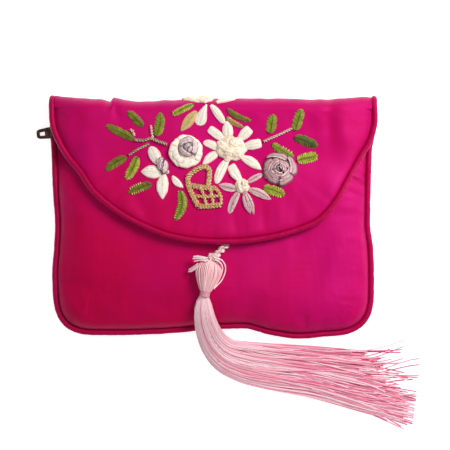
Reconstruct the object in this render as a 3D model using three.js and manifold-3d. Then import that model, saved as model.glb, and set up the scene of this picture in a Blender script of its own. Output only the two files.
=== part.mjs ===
// A small embroidered satin purse with a tassel, lying on its back.
// Millimetres. +Z is up off the table, +Y runs from the bottom edge to the fold, +X is to the right.
import * as THREE from "three";
import Module from "manifold-3d";

const wasm = await Module();
wasm.setup();

// ---------------------------------------------------------------- sizes
const purse_width = 151.8;
const purse_height = 110;
const stitch = purse_width / 330; // the unit of the tables: a 330th of the width
const half_width = purse_width / 2;
const flap_top_line = purse_height / 2; // tables count "down" from here

const wall = 2.2; // padded satin
const clearance = 0.3;
const piping_radius = 1.4;
const corner_reach = 22; // how far a bottom corner's rounding runs along each edge
const corner_power = 3;
const panel_inset = 2 * piping_radius + clearance;

const seam_height = 5.5; // where the two body panels meet, above the table
const seam_at_mouth = 3.4;
const front_puff = 8.5;
const mouth_puff = 6.5;
const mouth_drop = 20.5; // from the flap's top line down to the front panel's upper edge
const mouth_y = flap_top_line - mouth_drop;
const fold_puff = 6.5;
const fold_reach = 6; // how far the fold bulges past the line where the flap starts
const flap_rest = seam_height + piping_radius + clearance;
const tip_lift = 1.6;
const zip_lift = 1.3;

const zip_y = mouth_y + 5.5;
const coil_width = 2.8;
const coil_height = 1.8;
const tape_thickness = 0.8;
const slider_from_side = 8.9;
const slider_length = 7;
const slider_left = slider_from_side - half_width;
const slider_right = slider_left + slider_length;
const pull_length = 17;
const pull_width = 5.3;
const pull_yaw = 7; // degrees, as it lies in the photo
const pull_dip = 16;

const stitch_gap = 0.5; // between a ribbon's underside and the satin
const leaf_thick = 1.1;
const petal_thick = 1.3;
const rose_height = 4;
const basket_radius = 0.9;
const tape_overlap = 1.4; // how far the front tape runs up before it lies level
const tape_width = 5.3; // the back tape, from the coil to its sewn edge
const tassel_cord_width = 0.9;
const tassel_cord_height = 0.75;

// ---------------------------------------------------------------- tables
// Half width of the body as a share, at heights from the bottom edge (0) to the fold (1).
const SIDES = [
  { up: 0, left: 0.967, right: 0.975 },
  { up: 0.142, left: 0.976, right: 0.982 },
  { up: 0.268, left: 0.982, right: 0.982 },
  { up: 0.368, left: 0.97, right: 0.976 },
  { up: 0.469, left: 0.964, right: 0.958 },
  { up: 0.594, left: 0.976, right: 0.96 },
  { up: 0.77, left: 0.988, right: 0.97 },
  { up: 0.87, left: 0.998, right: 0.99 },
  { up: 1, left: 1, right: 0.99 },
];
// How far the bottom edge is drawn up, in stitches.
const BOTTOM_WAVE = [
  { across: -0.77, drawn: 0 },
  { across: -0.62, drawn: 0 },
  { across: -0.38, drawn: 1 },
  { across: -0.19, drawn: 3 },
  { across: -0.09, drawn: 5 },
  { across: 0.07, drawn: 6.5 },
  { across: 0.2, drawn: 7 },
  { across: 0.28, drawn: 4 },
  { across: 0.36, drawn: 0.4 },
  { across: 0.54, drawn: -3.5 },
  { across: 0.73, drawn: -1 },
  { across: 0.9, drawn: 0 },
];
// The fold's outline, in stitches above the flap's top line. The step at -0.61 is a tuck.
const FOLD_LINE = [
  { across: -0.98, above: 2.5 },
  { across: -0.915, above: 1 },
  { across: -0.867, above: 0 },
  { across: -0.77, above: -1 },
  { across: -0.673, above: -2 },
  { across: -0.624, above: -4 },
  { across: -0.606, above: 0 },
  { across: -0.576, above: -1 },
  { across: -0.527, above: -3 },
  { across: -0.43, above: -4 },
  { across: -0.309, above: -3 },
  { across: -0.05, above: -1.5 },
  { across: 0.2, above: -1 },
  { across: 0.442, above: -1 },
  { across: 0.636, above: -2 },
  { across: 0.782, above: -1 },
  { across: 0.927, above: 1 },
  { across: 0.98, above: 0 },
];
// The flap's outline from its left corner to its right corner, in stitches.
const FLAP_EDGE = [
  { right: -165, down: 0 },
  { right: -164.6, down: 13.5 },
  { right: -163.4, down: 27.5 },
  { right: -160, down: 39 },
  { right: -149, down: 59.5 },
  { right: -134.5, down: 77.5 },
  { right: -121, down: 96.5 },
  { right: -96.5, down: 117 },
  { right: -71, down: 131 },
  { right: -45.5, down: 141 },
  { right: -20, down: 146 },
  { right: 6, down: 147.5 },
  { right: 27, down: 147 },
  { right: 48, down: 144.5 },
  { right: 72, down: 139.5 },
  { right: 102, down: 128.5 },
  { right: 114, down: 119 },
  { right: 126.5, down: 103 },
  { right: 138.5, down: 81.5 },
  { right: 150.5, down: 60.5 },
  { right: 160, down: 44.5 },
  { right: 165, down: 25 },
  { right: 164, down: 0 },
];
// Folds (height above 0) and dents (below 0) of the flap: a long soft ellipse each, in stitches, height in mm.
const FLAP_FOLDS = [
  { right: 22, down: 128, turn: 80, long: 18, wide: 4, height: -0.45 },
  { right: 36, down: 127, turn: 84, long: 17, wide: 4, height: 0.4 },
  { right: 50, down: 124, turn: 88, long: 18, wide: 4, height: -0.5 },
  { right: 66, down: 121, turn: 93, long: 17, wide: 4, height: 0.4 },
  { right: 82, down: 117, turn: 98, long: 16, wide: 4, height: -0.4 },
  { right: -70, down: 112, turn: 60, long: 20, wide: 6, height: -0.35 },
  { right: 117, down: 28, turn: 92, long: 34, wide: 7, height: -0.8 },
  { right: 132, down: 30, turn: 90, long: 34, wide: 8, height: 0.5 },
  { right: -120, down: 60, turn: 60, long: 30, wide: 12, height: 0.4 },
  { right: -97, down: 12, turn: 80, long: 13, wide: 4, height: -0.5 },
];
const FRONT_FOLDS = [
  { right: 148, down: 74, turn: 35, long: 12, wide: 3.5, height: -0.8 },
  { right: 151, down: 86, turn: 30, long: 13, wide: 3.5, height: -0.9 },
  { right: 149, down: 98, turn: 25, long: 12, wide: 3.5, height: -0.7 },
  { right: 92, down: 228, turn: 75, long: 10, wide: 6, height: -1.3 },
  { right: -143, down: 226, turn: 45, long: 8, wide: 6, height: -1.4 },
  { right: -150, down: 180, turn: 90, long: 18, wide: 6, height: -0.7 },
  { right: -60, down: 205, turn: 10, long: 50, wide: 14, height: -0.5 },
  { right: 60, down: 190, turn: 170, long: 60, wide: 18, height: 0.5 },
];
// Leaves of stitched ribbon, base to tip, in stitches; bend bows the middle to the left of the way it grows.
const LEAVES = [
  { name: "leaf_left_1", right: -78, down: 43, to_right: -106, to_down: 29, width: 8, bend: 0 },
  { name: "leaf_left_2", right: -69.5, down: 30, to_right: -84.5, to_down: 15, width: 8, bend: 0 },
  { name: "leaf_left_3", right: -56, down: 40, to_right: -52, to_down: 16.5, width: 9.5, bend: 1 },
  { name: "leaf_left_5", right: -86, down: 60.5, to_right: -107, to_down: 73.5, width: 8.5, bend: 1 },
  { name: "leaf_left_6", right: -75, down: 60, to_right: -86, to_down: 83, width: 9.5, bend: -1 },
  { name: "leaf_left_7", right: -60.5, down: 87.5, to_right: -84, to_down: 96, width: 8, bend: 1 },
  { name: "leaf_left_8", right: -30.5, down: 95.5, to_right: -37, to_down: 121, width: 9.5, bend: 3 },
  { name: "leaf_left_9", right: -19.5, down: 8.5, to_right: -40.5, to_down: 18.5, width: 7, bend: 0 },
  { name: "leaf_right_10", right: 14, down: 13, to_right: 37.5, to_down: 24.5, width: 5.5, bend: 2 },
  { name: "leaf_right_11", right: 13.5, down: 21, to_right: 30, to_down: 31, width: 5, bend: 1 },
  { name: "leaf_right_1", right: 56.5, down: 37, to_right: 60, to_down: 18, width: 10, bend: 0 },
  { name: "leaf_right_2", right: 81.5, down: 34, to_right: 88, to_down: 13, width: 10, bend: 0 },
  { name: "leaf_right_3", right: 81, down: 40.5, to_right: 104, to_down: 49.5, width: 10, bend: 0 },
  { name: "leaf_right_4", right: 59, down: 47.5, to_right: 80, to_down: 60, width: 8, bend: 1 },
  { name: "leaf_right_5", right: 83.5, down: 64, to_right: 104, to_down: 59, width: 10, bend: 0 },
  { name: "leaf_right_6", right: 50, down: 90.5, to_right: 71, to_down: 98, width: 9.5, bend: 0 },
  { name: "leaf_tan", right: -17, down: 15.5, to_right: -31.5, to_down: 34, width: 10, bend: 0 },
];
// Stems: points right and down in stitches.
const STEMS = [
  { name: "stem_left_upper", radius: 0.65, way: [[-76.5, 46.5], [-68, 44], [-60, 42.8], [-50, 46]] },
  { name: "stem_left_lower", radius: 0.6, way: [[-83, 56.5], [-73, 52], [-64.5, 47.5]] },
  { name: "stem_right", radius: 0.85, way: [[51.5, 44], [62, 40.5], [75.5, 36]] },
  { name: "stitch_left_1", radius: 0.5, way: [[-82, 33.5], [-79, 38]] },
  { name: "stitch_left_2", radius: 0.5, way: [[-62, 29.5], [-60.5, 39]] },
];
// Petals of white and mauve ribbon, each flower joined to one piece at its heart.
const FLOWERS = [
  {
    name: "flower_left",
    heart: { right: -50.5, down: 70.5, radius: 7.5, height: 2.6 },
    petals: [
      { right: -54, down: 67, to_right: -62, to_down: 50.5, width: 11, bend: 0 },
      { right: -52, down: 77, to_right: -71, to_down: 75, width: 12.5, bend: 1 },
      { right: -48.5, down: 77.5, to_right: -50, to_down: 102, width: 11.5, bend: 1 },
    ],
  },
  {
    name: "flower_big",
    heart: { right: 19, down: 52, radius: 11, height: 3 },
    petals: [
      { right: 9, down: 44, to_right: -3.5, to_down: 32.5, width: 8.5, bend: 0 },
      { right: 14.5, down: 42, to_right: 13.5, to_down: 25.5, width: 10.5, bend: 0 },
      { right: 26, down: 43, to_right: 36, to_down: 33.5, width: 9, bend: 0 },
      { right: 29, down: 50, to_right: 47.5, to_down: 47, width: 9.5, bend: 0 },
      { right: 26, down: 59, to_right: 47, to_down: 71.5, width: 9, bend: 0 },
      { right: 8, down: 53, to_right: -7.5, to_down: 46.5, width: 8, bend: 0 },
      { right: 8, down: 56, to_right: -10, to_down: 67.5, width: 8, bend: 0 },
      { right: 14, down: 62, to_right: 4, to_down: 85, width: 9.5, bend: 0 },
    ],
  },
  {
    name: "flower_small",
    heart: { right: 29, down: 89, radius: 6.5, height: 2.6 },
    petals: [
      { right: 26.5, down: 84.5, to_right: 18.5, to_down: 70, width: 9, bend: 0 },
      { right: 33, down: 86, to_right: 46.5, to_down: 79, width: 5.5, bend: 0 },
      { right: 24, down: 92, to_right: 7.5, to_down: 89, width: 7.5, bend: 0 },
      { right: 26, down: 94, to_right: 17, to_down: 115, width: 7.5, bend: 1 },
      { right: 31, down: 94.5, to_right: 38, to_down: 117, width: 8, bend: -1 },
      { right: 35, down: 93.5, to_right: 56, to_down: 101.5, width: 7, bend: 0, lift: 1.4 },
    ],
  },
  {
    name: "flower_fold",
    heart: { right: -8, down: 4.5, radius: 8, height: 2.4 },
    petals: [
      { right: -8.5, down: 9, to_right: -13.5, to_down: 27, width: 10, bend: 0 },
      { right: -3, down: 9, to_right: 10, to_down: 25.5, width: 7.5, bend: 0 },
      { right: -14, down: 4.5, to_right: -29, to_down: 4, width: 8, bend: 0 },
      { right: -2, down: 5.5, to_right: 14, to_down: 4.5, width: 8, bend: 0 },
      { right: -12, down: 0, to_right: -20, to_down: -9, width: 9, bend: 0 },
      { right: -4, down: 0, to_right: 4, to_down: -9, width: 9, bend: 0 },
    ],
  },
];
const LOOSE_PETAL = { name: "petal_small", right: -39.5, down: 81, to_right: -30, to_down: 90.5, width: 6, bend: 0 };
const ROSES = [
  { name: "rose_cream", right: -26.5, down: 55, radius: 15.5 },
  { name: "rose_mauve", right: 66.5, down: 73.5, radius: 15.5 },
];
// Gold couched cord: a little woven basket with a handle. Points right and down in stitches.
const BASKET = [
  [[-24.5, 88.5], [-24.5, 80.5], [-18, 74.5], [-10, 70.8], [-4.5, 72], [-3.5, 79], [-5, 89.5]],
  [[-24.5, 88.5], [-11, 90.8], [3, 92]],
  [[-24.5, 88.5], [-20, 99], [-14.5, 109.5]],
  [[3, 92], [7.5, 99], [8, 108]],
  [[-14.5, 109.5], [-3, 109.3], [8, 108]],
  [[-20, 99], [-6, 100], [7.5, 99]],
  [[-13, 90], [-9, 99], [-6.5, 109]],
  [[-3, 91.5], [-1, 99.5], [0.5, 108.5]],
];
// The tassel's middle line from its knot to its neck, in stitches. Lift above what carries it and half sizes in mm.
const TASSEL = [
  { right: -1, down: 163.5, lift: 1.6, wide: 2.2, tall: 1.8 },
  { right: -2.4, down: 167.5, lift: 0.3, wide: 4.6, tall: 3.2 },
  { right: -4, down: 174, lift: 0, wide: 5.8, tall: 3.7 },
  { right: -5.6, down: 183, lift: 0.2, wide: 4.7, tall: 3.2 },
  { right: -7, down: 190.5, lift: 0.7, wide: 3, tall: 2.3 },
  { right: -8, down: 196, lift: 1.7, wide: 1.3, tall: 1.2 },
  { right: -8.6, down: 200, lift: 1.6, wide: 1.3, tall: 1.2 },
];
// The skirt's middle line from the neck over the bottom edge to the tips. Toward is a share of the way from the neck
// down to the bottom edge, past counts stitches from that edge, and drop is a share of seam_height.
const SKIRT = [
  { right: -8.4, toward: 0.02, lift: 1.8, spread: 0.3, tall: 0.9 },
  { right: -9.3, toward: 0.22, lift: 0.9, spread: 2.2, tall: 1.5 },
  { right: -8.6, toward: 0.5, lift: 1.1, spread: 3.4, tall: 1.8 },
  { right: -5.2, toward: 0.85, lift: 1.6, spread: 4.4, tall: 1.8 },
  { right: 2, past: 9, drop: 0.7, spread: 5.8, tall: 1.8 },
  { right: 14, past: 20.5, drop: 0.12, spread: 7.6, tall: 1.9 },
  { right: 32, past: 27, drop: 0.03, spread: 9, tall: 1.8 },
  { right: 57, past: 31, drop: 0, spread: 9.8, tall: 1.7 },
  { right: 107, past: 36, drop: 0, spread: 11.2, tall: 1.5 },
  { right: 157, past: 44, drop: 0, spread: 14, tall: 1.2 },
  { right: 200, past: 49, drop: 0, spread: 17.5, tall: 0.8 },
];
// Each lock of the skirt: its place across the spread, how far along it ends, and its half width in mm.
const LOCKS = [
  { side: -1, ends: 0.88, wide: 1.6 },
  { side: -0.72, ends: 0.95, wide: 1.7 },
  { side: -0.43, ends: 0.9, wide: 1.8 },
  { side: -0.14, ends: 0.97, wide: 1.8 },
  { side: 0.15, ends: 0.93, wide: 1.8 },
  { side: 0.44, ends: 0.99, wide: 1.8 },
  { side: 0.73, ends: 0.95, wide: 1.7 },
  { side: 1, ends: 1, wide: 1.6 },
];

// ---------------------------------------------------------------- small helpers
const V = (x, y, z) => new THREE.Vector3(x, y, z);
const mix = (a, b, t) => a + (b - a) * t;
const smooth = (a, b, x) => {
  const t = Math.min(1, Math.max(0, (x - a) / (b - a)));
  return t * t * (3 - 2 * t);
};
const radians = THREE.MathUtils.degToRad;
const steps = (n, f) => Array.from({ length: n + 1 }, (_, i) => f(i / n, i));
// A dome's profile: 0 at an edge, 1 at the middle, upright at the edge.
const rise = (k) => Math.sqrt(Math.max(0, 1 - (1 - Math.min(1, Math.max(0, k))) ** 2));

// A table's column at a place, smooth between the rows and never past them.
function read(rows, place, at, column) {
  const last = rows.length - 1;
  if (at <= rows[0][place]) return rows[0][column];
  if (at >= rows[last][place]) return rows[last][column];
  let i = 0;
  while (at > rows[i + 1][place]) i++;
  const slope = (j) =>
    (rows[j + 1][column] - rows[j][column]) / (rows[j + 1][place] - rows[j][place]);
  const tangent = (j) => {
    if (j === 0) return slope(0);
    if (j === last) return slope(last - 1);
    const a = slope(j - 1),
      b = slope(j);
    return a * b <= 0 ? 0 : (2 * a * b) / (a + b);
  };
  const h = rows[i + 1][place] - rows[i][place],
    t = (at - rows[i][place]) / h;
  return (
    (2 * t ** 3 - 3 * t ** 2 + 1) * rows[i][column] +
    (t ** 3 - 2 * t ** 2 + t) * h * tangent(i) +
    (3 * t ** 2 - 2 * t ** 3) * rows[i + 1][column] +
    (t ** 3 - t ** 2) * h * tangent(i + 1)
  );
}

function quad(faces, points, a, b, c, d) {
  if (points[a].distanceTo(points[c]) <= points[b].distanceTo(points[d]))
    faces.push([a, b, c], [a, c, d]);
  else faces.push([a, b, d], [b, c, d]);
}

// A closed body from points and faces, turned so that its faces look out.
function body(points, faces) {
  let volume = 0;
  for (const [a, b, c] of faces)
    volume += points[a].dot(V(0, 0, 0).crossVectors(points[b], points[c]));
  const order = volume < 0 ? faces.map(([a, b, c]) => [a, c, b]) : faces;
  const g = new THREE.BufferGeometry();
  g.setAttribute(
    "position",
    new THREE.Float32BufferAttribute(points.flatMap((p) => [p.x, p.y, p.z]), 3),
  );
  g.setIndex(order.flat());
  return g;
}

// Two grids of points, above and below, closed round their border.
function sheet(outer, inner) {
  const rows = outer.length - 1,
    cols = outer[0].length - 1,
    points = [...outer.flat(), ...inner.flat()],
    faces = [],
    o = (r, c) => r * (cols + 1) + c,
    i = (r, c) => (rows + 1) * (cols + 1) + o(r, c),
    add = (a, b, c, d) => quad(faces, points, a, b, c, d);
  for (let r = 0; r < rows; r++)
    for (let c = 0; c < cols; c++) {
      add(o(r, c), o(r, c + 1), o(r + 1, c + 1), o(r + 1, c));
      add(i(r, c), i(r + 1, c), i(r + 1, c + 1), i(r, c + 1));
    }
  for (let c = 0; c < cols; c++) {
    add(o(0, c + 1), o(0, c), i(0, c), i(0, c + 1));
    add(o(rows, c), o(rows, c + 1), i(rows, c + 1), i(rows, c));
  }
  for (let r = 0; r < rows; r++) {
    add(o(r, 0), o(r + 1, 0), i(r + 1, 0), i(r, 0));
    add(o(r + 1, cols), o(r, cols), i(r, cols), i(r + 1, cols));
  }
  return body(points, faces);
}

// Rings of points joined one after another, with flat ends.
function loft(rings) {
  const n = rings[0].length,
    points = rings.flat(),
    faces = [];
  for (let r = 0; r + 1 < rings.length; r++)
    for (let c = 0; c < n; c++) {
      const d = (c + 1) % n;
      quad(faces, points, r * n + c, r * n + d, (r + 1) * n + d, (r + 1) * n + c);
    }
  const end = (rings.length - 1) * n;
  for (let c = 1; c + 1 < n; c++) {
    faces.push([0, c + 1, c]);
    faces.push([end, end + c, end + c + 1]);
  }
  return body(points, faces);
}

// A round or flattened cord along points; size gives each ring's half width and half height.
function cord(points, size, sides) {
  const last = points.length - 1,
    tangents = points.map((_, i) =>
      points[Math.min(last, i + 1)].clone().sub(points[Math.max(0, i - 1)]).normalize(),
    );
  let across = V(0, 0, 1).cross(tangents[0]);
  if (across.length() < 0.1) across = V(1, 0, 0).cross(tangents[0]);
  return loft(
    points.map((p, i) => {
      across = across.addScaledVector(tangents[i], -across.dot(tangents[i])).normalize().clone();
      const up = tangents[i].clone().cross(across),
        [w, h] = size(i / last, i);
      return Array.from({ length: sides }, (_, k) => {
        const a = (2 * Math.PI * (k + 0.5)) / sides;
        return p.clone().addScaledVector(across, w * Math.cos(a)).addScaledVector(up, h * Math.sin(a));
      });
    }),
  );
}

const solid = (g) => {
  const whole = new wasm.Mesh({
    numProp: 3,
    vertProperties: new Float32Array(g.attributes.position.array),
    triVerts: new Uint32Array(g.index.array),
  });
  whole.merge();
  return new wasm.Manifold(whole);
};
// Pieces joined to one.
function joined(pieces) {
  const m = pieces.map(solid).reduce((a, b) => a.add(b)).getMesh(),
    g = new THREE.BufferGeometry(),
    v = [];
  for (let i = 0; i < m.numVert; i++)
    v.push(...m.vertProperties.slice(i * m.numProp, i * m.numProp + 3));
  g.setAttribute("position", new THREE.Float32BufferAttribute(v, 3));
  g.setIndex([...m.triVerts]);
  return g;
}
function block(from, to) {
  const size = to.clone().sub(from),
    at = from.clone().add(to).multiplyScalar(0.5);
  return new THREE.BoxGeometry(size.x, size.y, size.z).translate(at.x, at.y, at.z);
}

// ---------------------------------------------------------------- the body's shape
const side_share = (side, y) =>
  read(SIDES, "up", (y + purse_height / 2) / purse_height, side < 0 ? "left" : "right");
const wave = (across) => read(BOTTOM_WAVE, "across", across, "drawn") * stitch;
const wave_reach = 60;
const seam = (y) => mix(seam_height, seam_at_mouth, smooth(mouth_y - 14.5, mouth_y - 0.5, y));

// A place of the body given by its distances from the side and from the bottom, with the corner rounded.
function on_body(side, from_side, from_bottom, inset) {
  const room = corner_reach - inset,
    m = Math.max(0, (corner_reach - from_side) / room),
    n = Math.max(0, (corner_reach - from_bottom) / room),
    ring = Math.max(m, n),
    norm = (m ** corner_power + n ** corner_power) ** (1 / corner_power),
    f = norm > 0 ? ring / norm : 1,
    ex = m > 0 ? corner_reach - m * f * room : from_side,
    ey = n > 0 ? corner_reach - n * f * room : from_bottom,
    w = wave((side * (half_width - ex)) / half_width),
    y = -purse_height / 2 + ey + w * Math.max(0, 1 - ey / wave_reach);
  return { x: side * (half_width - ex) * side_share(side, y), y, depth: 1 - ring };
}
// How deep inside the outline a place is: 0 on the panel's border, 1 past the corner's reach.
function depth_at(x, y, inset) {
  const side = x < 0 ? -1 : 1,
    ex = half_width - Math.abs(x) / side_share(side, y),
    w = wave((side * (half_width - ex)) / half_width),
    up = y + purse_height / 2,
    ey = up > wave_reach ? up : (up - w) / (1 - w / wave_reach),
    room = corner_reach - inset,
    m = Math.max(0, (corner_reach - ex) / room),
    n = Math.max(0, (corner_reach - ey) / room);
  return 1 - (m ** corner_power + n ** corner_power) ** (1 / corner_power);
}
function folds(rows, x, y) {
  let sum = 0;
  for (const r of rows) {
    const dx = x / stitch - r.right,
      dy = (flap_top_line - y) / stitch - r.down,
      c = Math.cos(radians(r.turn)),
      s = Math.sin(radians(r.turn)),
      along = (dx * c + dy * s) / r.long,
      off = (dy * c - dx * s) / r.wide;
    sum += r.height * Math.exp(-along * along - off * off);
  }
  return sum;
}
function front_hump(x, y, depth) {
  const flat = 1 - (x / half_width) ** 2;
  return mix(
    front_puff * rise(depth) * (0.86 + 0.14 * flat),
    mouth_puff * flat * rise(depth),
    smooth(mouth_y - 26.5, mouth_y + 0.5, y),
  );
}
function front_top(x, y, depth = depth_at(x, y, panel_inset)) {
  const cloth = folds(FRONT_FOLDS, x, y) * Math.min(1, 2.5 * Math.max(0, depth));
  return seam(y) + clearance / 2 + Math.max(0, front_hump(x, y, depth) + cloth);
}
function front_under(x, y, depth) {
  const cloth = folds(FRONT_FOLDS, x, y) * Math.min(1, 2.5 * depth);
  return seam(y) + clearance / 2 + Math.max(0, front_hump(x, y, depth) + cloth - wall * rise(depth));
}

const fold_y = (x) => flap_top_line + read(FOLD_LINE, "across", x / half_width, "above") * stitch - fold_reach;
const tip_y = flap_top_line - Math.max(...FLAP_EDGE.map((r) => r.down)) * stitch;
// The flap's underside.
function flap_under(x, y) {
  const side = x < 0 ? -1 : 1,
    ex = half_width - Math.abs(x) / side_share(side, y),
    depth = Math.min(1, Math.max(0, (ex - panel_inset) / (corner_reach - panel_inset))),
    soft = Math.sin((Math.PI / 2) * depth),
    hump = mix(front_hump(x, y, depth), fold_puff * soft, smooth(mouth_y - 16.5, mouth_y + 3.5, y)),
    tip = tip_lift * smooth(tip_y + 38, tip_y + 1, y) * Math.max(0, 1 - (x / (0.87 * half_width)) ** 2),
    zip = zip_lift * Math.exp(-(((x - slider_left + 5) / 11) ** 2) - ((y - zip_y) / 9) ** 2);
  return flap_rest + hump + tip + zip + folds(FLAP_FOLDS, x, y);
}
const flap_top = (x, y) => flap_under(x, y) + wall;

// The outside of the cover: u runs down the flap from the fold, and over the fold when it is below 0.
function on_cover(x, u) {
  const y0 = fold_y(x);
  if (u >= 0) return V(x, y0 - u, flap_top(x, y0 - u));
  const b = flap_top(x, y0) / 2,
    a = -u / ((fold_reach + b) / 2);
  return V(x, y0 + fold_reach * Math.sin(a), b + b * Math.cos(a));
}
function raised(x, u, h) {
  const d = 0.5,
    p = on_cover(x, u),
    across = on_cover(x + d, u).sub(on_cover(x - d, u)),
    along = on_cover(x, u + d).sub(on_cover(x, u - d));
  return p.addScaledVector(along.cross(across).normalize(), h);
}
// A table's place on the cover. Places above the fold's line go over it.
function place(right, down) {
  const x = right * stitch,
    y = flap_top_line - down * stitch,
    past = y - fold_y(x);
  if (past <= 0) return new THREE.Vector2(x, -past);
  const b = flap_top(x, fold_y(x)) / 2,
    turn = past < fold_reach * 0.9 ? Math.asin(past / fold_reach) : 1.12 + (past / fold_reach - 0.9);
  return new THREE.Vector2(x, (-turn * (fold_reach + b)) / 2);
}

// ---------------------------------------------------------------- cloth panels
const edge_steps = (count, reach) => steps(count, (t) => reach * (1 - Math.cos((t * Math.PI) / 2)));

function front_panel() {
  const room = corner_reach - panel_inset,
    eased = edge_steps(5, room),
    span = half_width - panel_inset,
    middle = steps(12, (t) => mix(-(span - room), span - room, t)).slice(1, -1),
    columns = [...eased.map((e) => -(span - e)), ...middle, ...eased.map((e) => span - e).reverse()],
    full = mouth_y + purse_height / 2 - panel_inset,
    rows = [...eased, ...steps(8, (t) => mix(room, full, t)).slice(1)];
  const grid = (inset, height) =>
    rows.map((up) =>
      columns.map((c) => {
        const squeeze = (v, all) => (v * (all - inset + panel_inset)) / all,
          side = c < 0 ? -1 : 1,
          from_side = half_width - squeeze(Math.abs(c), span),
          from_bottom = inset + (up * (full - inset + panel_inset)) / full,
          p = on_body(side, from_side, from_bottom, inset);
        return V(p.x, Math.min(p.y, mouth_y), height(p.x, Math.min(p.y, mouth_y), p.depth));
      }),
    );
  return sheet(grid(panel_inset, front_top), grid(panel_inset + wall, front_under));
}

const edge_curve = new THREE.CatmullRomCurve3(
  FLAP_EDGE.map((r) => V(r.right * stitch, flap_top_line - r.down * stitch, 0)),
  false,
  "centripetal",
);
const EDGE = edge_curve.getSpacedPoints(600);
// The flap's outline at share w of its length, moved inwards.
function flap_edge(w, inset) {
  const i = Math.min(EDGE.length - 2, Math.floor(w * (EDGE.length - 1))),
    t = w * (EDGE.length - 1) - i,
    before = EDGE[Math.max(0, i - 6)],
    after = EDGE[Math.min(EDGE.length - 1, i + 7)],
    way = after.clone().sub(before).normalize();
  return V(mix(EDGE[i].x, EDGE[i + 1].x, t) - way.y * inset, mix(EDGE[i].y, EDGE[i + 1].y, t) + way.x * inset, 0);
}
const edge_share = (test) => EDGE.findIndex(test) / (EDGE.length - 1);
const left_start = edge_share((p) => p.y < fold_y(-72));
const left_shoulder = edge_share((p) => p.y < flap_top_line - 38 * stitch);
const right_shoulder = edge_share((p) => p.x > 0 && p.y > flap_top_line - 44 * stitch);
const right_start = edge_share((p) => p.x > 0 && p.y > fold_y(72));

// A place of the flap: s across from -1 to 1, t from the fold to the free edge.
function on_flap(s, t, inset) {
  const sigma = (s + 1) / 2,
    left = (k) => flap_edge(mix(left_start, left_shoulder, k), inset),
    right = (k) => flap_edge(mix(right_start, right_shoulder, k), inset),
    l0 = left(0),
    l1 = left(1),
    r0 = right(0),
    r1 = right(1),
    x = mix(l0.x, r0.x, sigma),
    fold = V(x, fold_y(x), 0),
    free = flap_edge(mix(left_shoulder, right_shoulder, sigma), inset),
    p = fold.clone().lerp(free, t);
  p.addScaledVector(left(t).sub(l0.clone().lerp(l1, t)), 1 - sigma);
  p.addScaledVector(right(t).sub(r0.clone().lerp(r1, t)), sigma);
  return p;
}

function back_flap_panel() {
  const span = half_width - panel_inset,
    back_reach = (corner_reach - panel_inset) / 1.5,
    eased = edge_steps(4, back_reach),
    middle = steps(12, (t) => mix(-(span - back_reach), span - back_reach, t)).slice(1, -1),
    tuck = [-0.627, -0.604].map((a) => a * half_width),
    columns = [...eased.map((e) => -(span - e)), ...middle, ...tuck, ...eased.map((e) => span - e)].sort(
      (a, b) => a - b,
    ),
    full = flap_top_line - fold_reach + purse_height / 2 - panel_inset,
    back_rows = [...eased, ...steps(5, (t) => mix(back_reach, full, t)).slice(1)].slice(0, -1),
    open = (y) => smooth(mouth_y + 2.5, mouth_y + 13.5, y),
    round = (depth) => 1 - rise(Math.min(1, depth * 1.5));
  const back = (outer) =>
    back_rows.map((up) =>
      columns.map((c) => {
        const narrow = outer ? 0 : mix(wall, 0.8, open(up + panel_inset - purse_height / 2)),
          inset = panel_inset + narrow,
          side = c < 0 ? -1 : 1,
          from_side = half_width - (Math.abs(c) * (span - narrow)) / span,
          from_bottom = inset + (up * (full - narrow)) / full,
          p = on_body(side, from_side, from_bottom, inset),
          edge = seam(p.y) - clearance / 2;
        return V(
          p.x,
          p.y,
          outer
            ? mix(edge, 0, open(p.y)) * round(p.depth)
            : wall + (mix(edge, wall, open(p.y)) - wall) * round(p.depth),
        );
      }),
    );
  const turn = (outer) =>
    steps(6, (t) =>
      columns.map((c) => {
        const inset = panel_inset + (outer ? 0 : 0.8),
          p = on_flap(c / span, 0, inset),
          b = flap_top(p.x, p.y) / 2,
          a = Math.PI * t,
          thin = outer ? 0 : wall;
        return V(p.x, p.y + (fold_reach - thin) * Math.sin(a), b - (b - thin) * Math.cos(a));
      }),
    );
  const flap_rows = [0.09, 0.18, 0.28, 0.38, 0.48, 0.58, 0.68, 0.78, 0.87, 0.95, 1];
  const flap = (outer) =>
    flap_rows.map((t) =>
      columns.map((c) => {
        const s = c / span,
          p = on_flap(s, t, panel_inset + (outer ? 0 : 0.8)),
          rim = Math.max(Math.abs(s), t) > 0.999 ? 0.4 : 0;
        return V(p.x, p.y, outer ? flap_top(p.x, p.y) - rim : flap_under(p.x, p.y));
      }),
    );
  const grid = (outer) => [...back(outer), ...turn(outer), ...flap(outer)];
  return sheet(grid(true), grid(false));
}

// ---------------------------------------------------------------- piping
const piping_end_y = mouth_y + 10.1;
function body_piping() {
  const inset = piping_radius,
    at = (side, from_side, from_bottom) => {
      const p = on_body(side, from_side, from_bottom, inset);
      return V(p.x, p.y, seam(p.y));
    },
    corner = edge_steps(5, corner_reach - inset).map((e) => inset + e),
    full = piping_end_y + purse_height / 2,
    ups = [...corner, ...steps(9, (t) => mix(corner_reach, full, t)).slice(1)],
    acrosses = [...corner.slice(1), ...steps(8, (t) => mix(corner_reach, half_width, t)).slice(1, -1)];
  const left = ups.map((u) => at(-1, inset, u)).reverse(),
    right = ups.map((u) => at(1, inset, u)),
    bottom = [
      ...acrosses.map((a) => at(-1, a, inset)),
      at(1, half_width, inset),
      ...acrosses.map((a) => at(1, a, inset)).reverse(),
    ];
  return cord([...left, ...bottom, ...right], () => [piping_radius, piping_radius], 6);
}

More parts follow.
